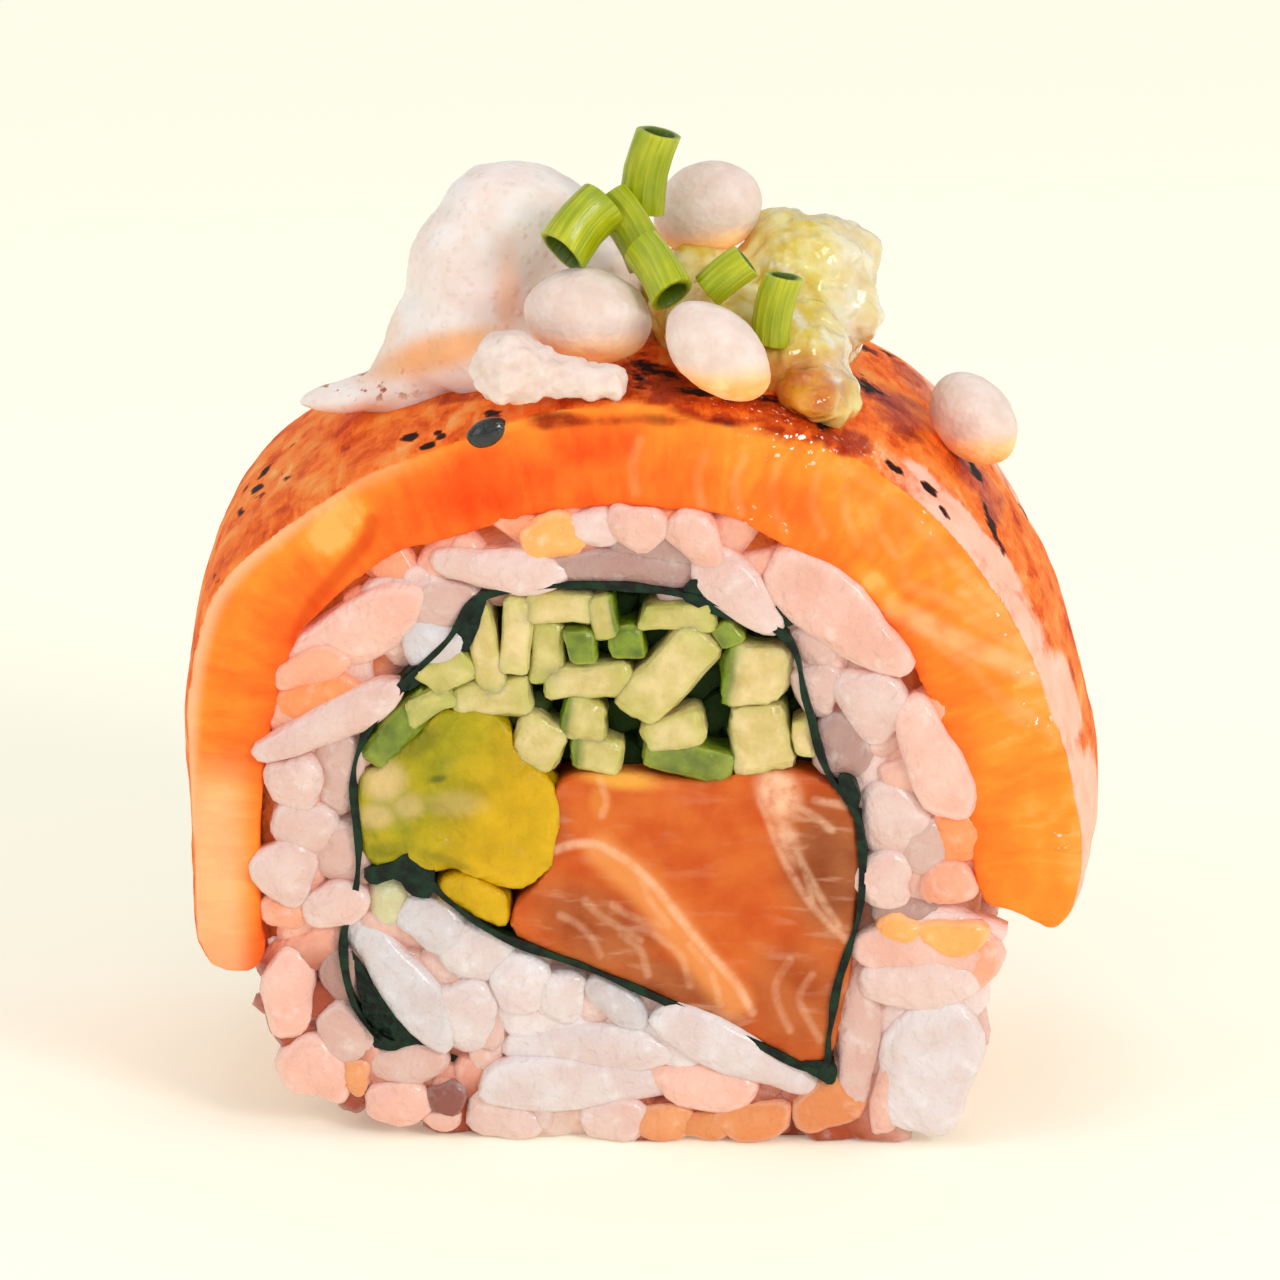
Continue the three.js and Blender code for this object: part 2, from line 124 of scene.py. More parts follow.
AVOCADO_END = [(-12.2, 15.7), (-11.0, 16.8), (-8.1, 15.6), (-8.0, 13.6), (-10.4, 14.5)]

# Cucumber sticks: x, z, width, height, turn in degrees, how green the flesh is, and which side of
# the stick is skin: none, right, left or all
CUCUMBER = [
    (-9.2, 30.9, 1.7, 5.6, 4, 0.15, ""), (-7.3, 31.7, 1.7, 4.4, -8, 0.1, ""),
    (-5.4, 30.6, 2.0, 3.8, -6, 0.45, ""), (-4.8, 33.4, 4.0, 1.9, 0, 0.1, ""),
    (-2.2, 33.0, 1.5, 2.4, 20, 0.35, "right"), (-3.5, 31.1, 1.8, 2.2, 0, 0.9, "all"),
    (-0.8, 31.4, 1.9, 2.0, 0, 1.0, "all"), (-3.2, 28.9, 4.8, 2.0, 3, 0.2, ""),
    (-3.3, 26.5, 2.6, 2.6, -15, 0.35, "left"), (-6.0, 25.0, 2.8, 3.0, -30, 0.2, ""),
    (-2.6, 24.4, 2.8, 2.0, -10, 0.35, "left"), (-8.8, 27.7, 4.4, 2.1, 8, 0.25, ""),
    (-11.4, 29.4, 3.0, 2.2, 35, 0.45, ""), (-12.4, 27.4, 3.0, 1.7, 30, 0.6, ""),
    (-14.2, 25.7, 5.0, 2.0, 48, 0.9, "all"),
    (1.7, 29.4, 6.2, 2.8, 50, 0.2, ""), (2.0, 25.8, 3.3, 1.9, 12, 0.25, ""),
    (2.2, 33.0, 4.0, 1.6, 0, 0.4, ""), (6.8, 29.4, 3.7, 3.6, 0, 0.05, "left"),
    (7.1, 25.4, 3.5, 4.2, 10, 0.1, ""), (5.1, 31.9, 1.4, 1.4, 30, 0.8, "all"),
    (9.6, 25.6, 1.2, 2.0, 0, 0.05, ""), (2.9, 24.0, 5.0, 2.1, -14, 0.7, "all"),
]

# Toppings, as eggs: centre, half sizes, turn about the vertical and tilt of the +X end upwards
PUFFED_RICE = {
    "puffed_rice_back": (3.4, 1.4, 54.0, 3.3, 2.8, 2.8, 10, 20),
    "puffed_rice_middle": (-3.3, -7.6, 49.8, 3.75, 2.6, 2.85, 0, -8),
    "puffed_rice_front": (4.5, -11.9, 49.0, 3.6, 2.2, 2.35, 0, -42),
    "puffed_rice_right": (19.4, -0.8, 41.8, 3.1, 2.4, 2.25, 0, -50),
}
WHITE_SAUCE = [
    (-7.8, 1.4, 52.6, 4.9, 4.2, 3.9, 0, -12), (-9.2, 1.2, 49.0, 5.2, 5.2, 6.2, 0, 12),
    (-10.6, 0.8, 46.4, 5.6, 5.2, 4.2, 0, 30), (-8.4, -2.6, 45.8, 4.8, 3.4, 2.8, 0, 0),
    (-16.2, -1.0, 43.2, 5.0, 2.4, 0.75, 0, 10), (-4.0, 0.8, 48.6, 3.6, 4.2, 4.6, 0, 0),
    (-13.2, 0.6, 43.6, 3.6, 4.0, 3.2, 0, 30),
]
RELISH = [
    (9.0, 1.4, 48.6, 4.5, 5.0, 5.2, 0, 0), (8.2, 2.0, 51.6, 2.6, 2.8, 2.4, 0, 0),
    (11.9, 1.6, 51.2, 1.8, 2.2, 1.8, 0, 30), (12.3, 0.2, 48.2, 1.6, 2.2, 2.4, 0, 0),
    (8.4, -4.6, 47.0, 3.6, 4.6, 3.0, 0, 0), (10.2, -7.6, 45.6, 2.6, 4.8, 1.9, 0, -20),
    (4.6, -3.8, 48.2, 3.6, 4.2, 3.0, 0, 0), (3.2, -0.4, 48.6, 3.6, 4.0, 3.8, 0, 0),
]
SESAME = (-9.0, -12.4, 44.0, 1.35, 0.75, 0.85, 0, 30)
CRISP_HEAD = (-7.7, -11.8, 47.8)
CRISP_TILT = -8
CRISP_HEAD_AT = 2.2
CRISP_PROFILE = [
    (0.0, 0.0), (0.3, 1.3), (1.2, 2.0), (2.2, 2.15), (3.3, 1.85), (4.4, 1.4), (5.6, 1.15),
    (7.2, 1.1), (8.7, 1.0), (9.3, 0.0),
]

# Chives: centre, length, radius, and the turn and lean of the stalk's axis
CHIVES = {
    "chive_upright": (0.0, -2.4, 57.3, 4.9, 1.35, 0, 12),
    "chive_left": (-3.7, -6.2, 54.9, 4.0, 1.75, 40, 52),
    "chive_middle": (-1.0, -4.6, 54.4, 4.6, 1.4, 148, 40),
    "chive_lower": (0.8, -8.2, 52.9, 3.8, 1.5, 130, 52),
    "chive_front": (4.8, -7.6, 52.4, 3.0, 1.15, 8, 52),
    "chive_right": (7.7, -8.0, 50.5, 4.2, 1.15, 0, 11),
}
CHIVE_WALL = 0.45

# Rice grains on the front, read off the picture: column, row, length, width, turn, how far forward
# the grain lies (0 to 3, or less than 0 where it lies back), and its tint
FRONT_GRAINS = [
    (500, 570, 130, 40, -6, 2, "pink"), (446, 606, 72, 46, 5, 1, "shade"), (434, 644, 62, 46, 5, 1, "grey"),
    (354, 636, 160, 58, 32, 1, "blush"), (312, 668, 76, 36, 20, 2, "peach"), (404, 600, 90, 40, 14, 0, "pink"),
    (318, 702, 92, 46, 15, 0, "salmon"), (330, 722, 156, 38, 27, 3, "pink"), (295, 783, 54, 54, 0, 2, "pink"),
    (338, 775, 92, 44, 86, 0, "shade"), (553, 537, 66, 44, 15, 2, "amber"), (590, 530, 62, 36, 0, 1, "pink"),
    (637, 527, 58, 42, -20, 2, "blush"), (697, 540, 64, 40, -50, 3, "blush"),
    (620, 572, 176, 34, -3, 1, "dull"),
    (738, 594, 104, 50, -45, 2, "pink"), (838, 615, 164, 64, -40, 2, "blush"),
    (660, 550, 92, 32, -4, 0, "dull"),
    (540, 560, 64, 32, 0, 0, "shade"), (560, 1130, 60, 34, 0, -3, "grey"),
    (815, 645, 50, 42, 0, 1, "shade"), (818, 692, 56, 46, -85, 1, "shade"),
    (870, 704, 76, 60, -50, 2, "pink"), (840, 748, 66, 52, -70, 1, "dull"),
    (933, 760, 128, 52, -66, 3, "blush"),
    (903, 778, 46, 34, 0, 1, "blush"), (893, 822, 78, 62, -80, 1, "pink"), (925, 848, 58, 48, -70, 1, "shade"),
    (884, 882, 60, 56, -60, 2, "pink"), (960, 838, 52, 58, 0, 0, "salmon"), (947, 885, 54, 40, 10, 2, "peach"),
    (305, 830, 68, 54, -20, 1, "pink"), (342, 858, 58, 62, 0, 0, "shade"), (283, 873, 62, 60, -30, 2, "pink"),
    (335, 906, 64, 42, 15, 3, "pink"), (283, 915, 46, 36, 0, 0, "peach"), (288, 997, 90, 48, 88, 1, "blush"),
    (341, 978, 60, 40, 80, 0, "dull"), (344, 1036, 64, 52, -60, 1, "shade"),
    (315, 1073, 76, 56, -40, 1, "blush"),
    (357, 1080, 40, 28, 90, 0, "tan"), (407, 1067, 74, 40, 5, 1, "shade"), (398, 1105, 66, 44, 0, 1, "blush"),
    (445, 1100, 38, 34, 0, 1, "dark"), (440, 1122, 40, 22, 0, 0, "blush"), (402, 984, 154, 46, -54, 2, "grey"),
    (432, 925, 68, 48, -35, 2, "grey"), (387, 902, 50, 34, 80, 1, "lime"), (470, 950, 82, 52, -20, 1, "white"),
    (462, 1015, 68, 68, 0, 2, "white"), (520, 985, 62, 52, 90, 2, "white"), (560, 1000, 54, 50, 90, 1, "white"),
    (617, 1005, 72, 34, -38, 2, "grey"), (735, 1052, 176, 46, -26, 3, "white"),
    (590, 1050, 164, 44, 0, 1, "white"),
    (575, 1085, 182, 52, 2, 2, "white"), (700, 1087, 104, 44, -10, 1, "blush"),
    (505, 1119, 76, 46, -20, 1, "pink"),
    (614, 1125, 64, 44, 0, 1, "pink"), (540, 1022, 96, 50, -10, 0, "white"),
    (664, 1042, 80, 42, -30, 0, "white"),
    (660, 1128, 62, 36, 0, 1, "tan"), (752, 1122, 76, 38, 4, 1, "brown"), (828, 1108, 74, 48, 25, 1, "brown"),
    (702, 1132, 56, 28, 0, 0, "brown"), (930, 952, 142, 56, -3, 1, "blush"),
    (900, 936, 48, 42, 0, 2, "amber"), (950, 938, 70, 34, -4, 2, "amber"),
    (918, 984, 112, 50, 0, 2, "pink"), (858, 1040, 144, 38, 87, 1, "shade"),
    (890, 1090, 100, 30, 80, 1, "blush"),
    (930, 1068, 138, 88, 80, 2, "white"), (972, 964, 54, 54, 0, 0, "peach"), (905, 912, 70, 34, 0, 0, "dull"),
]
TINTS = {
    "white": "#E2D6D6", "pink": "#E4C6BE", "grey": "#D2CCCE", "dull": "#B49088", "shade": "#D8B6AC",
    "blush": "#ECBCAC", "peach": "#F4AC8C", "salmon": "#FF9C62", "amber": "#FFB062", "tan": "#EAA06C",
    "brown": "#E0905A", "dark": "#8C5248", "lime": "#CCC89C",
}

# Where the nori's own face shows between the rice and the filling: columns and rows, and the depth
NORI_FOLDS = [
    ([(352, 952), (357, 985), (364, 1020), (374, 1048), (402, 1052), (440, 1056), (417, 1034), (395, 1012),
    (374, 988), (360, 962)], -12.75),
    ([(364, 868), (392, 862), (410, 850), (432, 855), (434, 880), (430, 897), (412, 893), (396, 878),
    (372, 884)], -13.3),
    ([(682, 596), (698, 578), (722, 604), (737, 620), (716, 614)], -13.2),
    ([(776, 606), (786, 600), (798, 608), (797, 622), (780, 628)], -12.9),
    ([(838, 776), (852, 776), (860, 802), (850, 802)], -13.4),
    ([(798, 1062), (826, 1060), (836, 1072), (828, 1082)], -13.3),
    ([(398, 692), (410, 668), (442, 664), (424, 682)], -13.1),
    ([(456, 624), (478, 600), (486, 604), (466, 652)], -13.1),
]


# Making and shaping pieces

def deselect():
    bpy.ops.object.select_all(action="DESELECT")


def apply(piece, kind, **settings):
    """Adds a modifier to the piece with its settings, and applies it."""
    deselect()
    piece.select_set(True)
    bpy.context.view_layer.objects.active = piece
    modifier = piece.modifiers.new(kind.lower(), kind)
    for name, value in settings.items():
        setattr(modifier, name, value)
    bpy.ops.object.modifier_apply(modifier=modifier.name)


def roughen(piece, size, height, depth=2, middle=0.5):
    """Makes the surface uneven by that height, in lumps of that size. A low middle lets it grow."""
    lumps = bpy.data.textures.new(piece.name + "_lumps", "CLOUDS")
    lumps.noise_scale = size
    lumps.noise_depth = depth
    apply(piece, "DISPLACE", texture=lumps, strength=height, mid_level=middle, texture_coords="LOCAL")


def fuse(name, pieces, voxel=0.0, smooth=0):
    """Joins pieces into one, melts them together on a grid of that size, and smooths the result."""
    deselect()
    for piece in pieces:
        piece.select_set(True)
    bpy.context.view_layer.objects.active = pieces[0]
    if len(pieces) > 1:
        bpy.ops.object.join()
    whole = pieces[0]
    whole.name = name
    if voxel:
        apply(whole, "REMESH", mode="VOXEL", voxel_size=voxel)
    if smooth:
        apply(whole, "SMOOTH", factor=0.5, iterations=smooth)
    return whole


def even_points(rows, count, closed=False):
    """That many evenly spaced points on a smooth line through the rows."""
    size = len(rows)
    dense = []
    for i in range(size if closed else size - 1):
        a, b, c, d = (
            rows[(i + k) % size] if closed else rows[min(max(i + k, 0), size - 1)] for k in (-1, 0, 1, 2))
        for step in range(20):
            t = step / 20
            dense.append([
                0.5 * (2 * q + (r - p) * t + (2 * p - 5 * q + 4 * r - s) * t * t + (3 * q - p - 3 * r + s) * t ** 3)
                for p, q, r, s in zip(a, b, c, d)
            ])
    dense.append(list(rows[0] if closed else rows[-1]))
    dense = np.array(dense)
    run = np.concatenate([[0], np.cumsum(np.hypot(*np.diff(dense[:, :2], axis=0).T))])
    at = np.linspace(0, run[-1], count + 1)[:-1] if closed else np.linspace(0, run[-1], count)
    return np.stack([np.interp(at, run, dense[:, k]) for k in range(dense.shape[1])], axis=1)


def normals_of(line):
    """The direction to the left of an open line at each of its points."""
    along = np.gradient(line[:, :2], axis=0)
    along /= np.hypot(*along.T)[:, None]
    return np.stack([-along[:, 1], along[:, 0]], axis=1)


def band(line, widths, round_ends=0.7):
    """The outline of a strip of those widths along a line, with rounded ends."""
    normal = normals_of(line)
    left = line[:, :2] + normal * widths[:, None] / 2
    right = line[:, :2] - normal * widths[:, None] / 2
    caps = []
    for end, side in ((-1, 1), (0, -1)):
        out = np.array([normal[end][1], -normal[end][0]]) * side
        for step in range(1, 8):
            turn = math.pi * step / 8
            reach = widths[end] / 2
            across = normal[end] * math.cos(turn) * reach * side
            caps.append(line[end, :2] + across + out * math.sin(turn) ** 0.6 * reach * round_ends)
    return np.concatenate([left, caps[:7], right[::-1], caps[7:]])


def swell(piece, factor=1.0):
    """Gives a piece that runs through the roll the roll's slight belly between its cut faces."""
    for vertex in piece.data.vertices:
        grow = 1 + factor * BELLY * max(0.0, 1 - (vertex.co.y / HALF_DEPTH) ** 2)
        vertex.co.x = BELLY_CENTRE[0] + (vertex.co.x - BELLY_CENTRE[0]) * grow
        vertex.co.z = BELLY_CENTRE[1] + (vertex.co.z - BELLY_CENTRE[1]) * grow


def run_through(name, outline, front=-HALF_DEPTH, back=HALF_DEPTH, steps=8):
    """A piece that runs through the roll with that outline, drawn as a filled ring and extruded."""
    deselect()
    bpy.ops.mesh.primitive_circle_add(vertices=len(outline), radius=1.0, fill_type="NGON")
    piece = bpy.context.object
    piece.name = name
    for vertex, point in zip(piece.data.vertices, outline):
        vertex.co = (point[0], front, point[1])
    bpy.ops.object.mode_set(mode="EDIT")
    bpy.ops.mesh.select_all(action="SELECT")
    for _ in range(steps):
        bpy.ops.mesh.extrude_region_move(TRANSFORM_OT_translate={"value": (0, (back - front) / steps, 0)})
    bpy.ops.mesh.select_all(action="SELECT")
    bpy.ops.mesh.normals_make_consistent(inside=False)
    bpy.ops.object.mode_set(mode="OBJECT")
    swell(piece)
    return piece


def egg(x, y, z, a, b, c, turn=0, tilt=0, segments=24, rings=14):
    """An ellipsoid with those half sizes, turned about the vertical, its +X end tilted up."""
    deselect()
    bpy.ops.mesh.primitive_uv_sphere_add(segments=segments, ring_count=rings, radius=1.0)
    piece = bpy.context.object
    place = Matrix.Translation((x, y, z)) @ Matrix.Rotation(math.radians(turn), 4, "Z")
    place = place @ Matrix.Rotation(math.radians(-tilt), 4, "Y") @ Matrix.Diagonal((a, b, c, 1))
    piece.data.transform(place)
    return piece


def carve(piece, tool):
    """Cuts the tool's form out of the piece, and removes the tool."""
    apply(piece, "BOOLEAN", operation="DIFFERENCE", solver="EXACT", object=tool)
    bpy.data.objects.remove(tool)


def points_of(piece):
    """The piece's points as rows of x, y and z, in millimetres."""
    flat = np.zeros(len(piece.data.vertices) * 3)
    piece.data.vertices.foreach_get("co", flat)
    return flat.reshape(-1, 3)


def move_points(piece, points):
    piece.data.vertices.foreach_set("co", points.ravel())
    piece.data.update()


def store(piece, name, values):
    """Keeps one number, or a row of three, for each point of the piece, for its material."""
    kind = "FLOAT" if values.ndim == 1 else "FLOAT_VECTOR"
    layer = piece.data.attributes.new(name, kind, "POINT")
    layer.data.foreach_set("value" if values.ndim == 1 else "vector", values.astype(np.float32).ravel())


def rise(values, low, high):
    """0 below low, 1 above high, and smooth between them."""
    t = np.clip((values - low) / (high - low), 0, 1)
    return t * t * (3 - 2 * t)


def spots(points, rows):
    """A soft mask, 1 at each row's place and 0 at its radius: x, y, z, radius, strength."""
    mask = np.zeros(len(points))
    for x, y, z, radius, strength in rows:
        far = np.linalg.norm(points - np.array([x, y, z]), axis=1) / radius
        mask = np.maximum(mask, strength * (1 - rise(far, 0.25, 1.0)))
    return mask


def camera_axes():
    """The camera's place, its focal length in pixels, and its directions right, up and back."""
    turn, up = math.radians(AZIMUTH), math.radians(ELEVATION)
    back = Vector((math.sin(turn) * math.cos(up), -math.cos(turn) * math.cos(up), math.sin(up)))
    right = Vector((math.cos(turn), math.sin(turn), 0))
    return Vector(AIM) + back * DISTANCE, PIXELS_PER_MM * DISTANCE, right, back.cross(right), back


def seen(points):
    """The column and row of the picture where each point lies. The back half is read as the front."""
    eye, focal, right, up, back = (np.array(part) for part in camera_axes())
    off = points * [1, 0, 1] + np.outer(-np.abs(points[:, 1]), [0, 1, 0]) - eye
    away = -off @ back
    columns, rows = PICTURE / 2 + focal * (off @ right) / away, PICTURE / 2 - focal * (off @ up) / away
    return np.stack([columns, rows], axis=1)


def strokes(spot, lines, width, strength=1.0):
    """A mask that is 1 on smooth lines through columns and rows, and fades at that half width."""
    far = np.full(len(spot), 1e9)
    for line in lines:
        for column, row in even_points(line, 60):
            far = np.minimum(far, np.hypot(spot[:, 0] - column, spot[:, 1] - row))
    return strength * (1 - rise(far, width * 0.25, width))


def blots(spot, rows):
    """A soft mask of ovals in the picture: column, row, length, width, turn and strength."""
    mask = np.zeros(len(spot))
    for column, row, length, width, turn, strength in rows:
        side = math.radians(turn)
        across, down = spot[:, 0] - column, row - spot[:, 1]
        long = (across * math.cos(side) + down * math.sin(side)) / length * 2
        wide = (-across * math.sin(side) + down * math.cos(side)) / width * 2
        mask = np.maximum(mask, strength * (1 - rise(np.hypot(long, wide), 0.35, 1.25)))
    return mask


def refine(piece, cuts, choose):
    """Subdivides the faces that the test chooses by their centre and normal."""
    deselect()
    piece.select_set(True)
    bpy.context.view_layer.objects.active = piece
    bpy.ops.object.mode_set(mode="EDIT")
    bpy.ops.mesh.select_mode(type="FACE")
    bpy.ops.mesh.select_all(action="DESELECT")
    bpy.ops.object.mode_set(mode="OBJECT")
    for face in piece.data.polygons:
        face.select = choose(face.center, face.normal)
    bpy.ops.object.mode_set(mode="EDIT")
    bpy.ops.mesh.subdivide(number_cuts=cuts, smoothness=0.0)
    bpy.ops.object.mode_set(mode="OBJECT")


def directions(piece):
    """The normal of the piece at each of its points."""
    flat = np.zeros(len(piece.data.vertices) * 3)
    piece.data.vertices.foreach_get("normal", flat)
    return flat.reshape(-1, 3)


def finish(piece, slot, material, *nodes, angle=None):
    """Turns a piece to metres, gives it its material, and hides the model's parts that it stands for."""
    deselect()
    piece.select_set(True)
    bpy.context.view_layer.objects.active = piece
    kept_in = np.clip(points_of(piece) * MM, np.array(cad_low), np.array(cad_high))
    move_points(piece, kept_in)
    piece.data.materials.clear()
    piece.data.materials.append(material)
    if angle:
        bpy.ops.object.shade_smooth_by_angle(angle=math.radians(angle))
    else:
        bpy.ops.object.shade_smooth()
    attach(piece, "root")
    if nodes:
        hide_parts(*nodes)


# Materials, and settings that many of their nodes share

BLEND = {"data_type": "RGBA"}
SOFT = {"interpolation_type": "SMOOTHSTEP"}
TIMES = {"operation": "MULTIPLY"}
PLUS = {"operation": "ADD"}
LESS = {"operation": "SUBTRACT"}


def linear(colour):
    """A hex colour as seen on a screen, as the linear colour that a shader takes."""
    parts = [int(colour[k:k + 2], 16) / 255 for k in (1, 3, 5)]
    return (*[p / 12.92 if p <= 0.04045 else ((p + 0.055) / 1.055) ** 2.4 for p in parts], 1.0)


def connect(tree, node, inputs):
    """Gives a node's inputs their values, or links them."""
    for name, value in inputs.items():
        if isinstance(value, bpy.types.NodeSocket):
            tree.links.new(value, node.inputs[name])
        else:
            node.inputs[name].default_value = linear(value) if isinstance(value, str) else value


def add(tree, kind, settings=None, inputs=None, output=0, stops=None):
    """Adds a node with its settings, values and links, and returns one output."""
    node = tree.nodes.new("ShaderNode" + kind)
    for name, value in (settings or {}).items():
        setattr(node, name, value)
    connect(tree, node, inputs or {})
    if stops:
        while len(node.color_ramp.elements) < len(stops):
            node.color_ramp.elements.new(0.5)
        for element, (place, colour) in zip(node.color_ramp.elements, stops):
            element.position = place
            element.color = linear(colour)
    return node.outputs[output]


def new_material(name):
    """An empty material, its node tree and its surface."""
    material = bpy.data.materials.new(name)
    material.use_nodes = True
    return material, material.node_tree, material.node_tree.nodes["Principled BSDF"]


def patches(tree, size, detail=2.0, low=0.4, high=0.6, distortion=0.0, vector=None):
    """A mask of irregular patches of that size in millimetres."""
    vector = vector or add(tree, "TexCoord", output="Object")
    inputs = {"Vector": vector, "Scale": 1000.0 / size, "Detail": detail, "Distortion": distortion}
    cloud = add(tree, "TexNoise", inputs=inputs)
    return add(tree, "MapRange", SOFT, {"Value": cloud, 1: low, 2: high})


def swing(tree, base, cloud, strength):
    """The base value, moved up and down with a pattern about the pattern's middle."""
    about = add(tree, "Math", LESS, {0: cloud, 1: 0.5})
    return add(tree, "Math", PLUS, {0: base, 1: add(tree, "Math", TIMES, {0: about, 1: strength})})


def thinned(tree, mask, cloud, least):
    """The mask, lowered to that share of itself where the pattern is 0."""
    share = add(tree, "Math", PLUS, {0: least, 1: add(tree, "Math", TIMES, {0: cloud, 1: 1 - least})})
    return add(tree, "Math", TIMES, {0: mask, 1: share})


def rice_material():
    """Cooked short-grain rice, moist: pinkish white, milky, and brown where sauce has seeped in; its darker gaps are
    painted shade, its pale rims and faint glow painted light.
    """
    material, tree, surface = new_material("cooked_rice")
    tint = add(tree, "Attribute", {"attribute_name": "tint"}, output="Color")
    rim = add(tree, "Attribute", {"attribute_name": "rim"}, output="Fac")
    cloud = patches(tree, 2.4, detail=4, low=0.3, high=0.7)
    full = add(tree, "Mix", {"data_type": "RGBA", "blend_type": "MULTIPLY"}, {0: 0.6, 6: tint, 7: "#F4DED6"}, 2)
    colour = add(tree, "Mix", BLEND, {0: cloud, 6: full, 7: tint}, 2)
    # Paler towards each grain's rim: painted light where it shows through the thin edges.
    pale = add(tree, "Mix", BLEND, {0: 0.4, 6: tint, 7: "#FFFFFF"}, 2)
    edge = add(tree, "MapRange", SOFT, {"Value": rim, 1: 0.72, 2: 0.9, 4: 0.25})
    colour = add(tree, "Mix", BLEND, {0: edge, 6: colour, 7: pale}, 2)
    milky = add(tree, "Math", TIMES, {0: patches(tree, 1.2, detail=3, low=0.55, high=0.8), 1: 0.5})
    colour = add(tree, "Mix", BLEND, {0: milky, 6: colour, 7: pale}, 2)
    ripples = patches(tree, 0.9, detail=3, low=0.25, high=0.75)
    # A faint glow in the rice's own colour: painted light that lifts the shade between grains.
    connect(tree, surface, {
        "Base Color": colour, "Roughness": 0.3, "IOR": 1.38, "Specular IOR Level": 0.3, "Subsurface Weight": 0.08,
        "Subsurface Scale": 0.0005, "Subsurface Radius": (1.0, 0.9, 0.85), "Coat Weight": 0.4, "Coat Roughness": 0.06,
        "Emission Color": colour, "Emission Strength": 0.09,
        "Normal": add(tree, "Bump", inputs={"Height": ripples, "Distance": 0.00014}),
    })
    return material


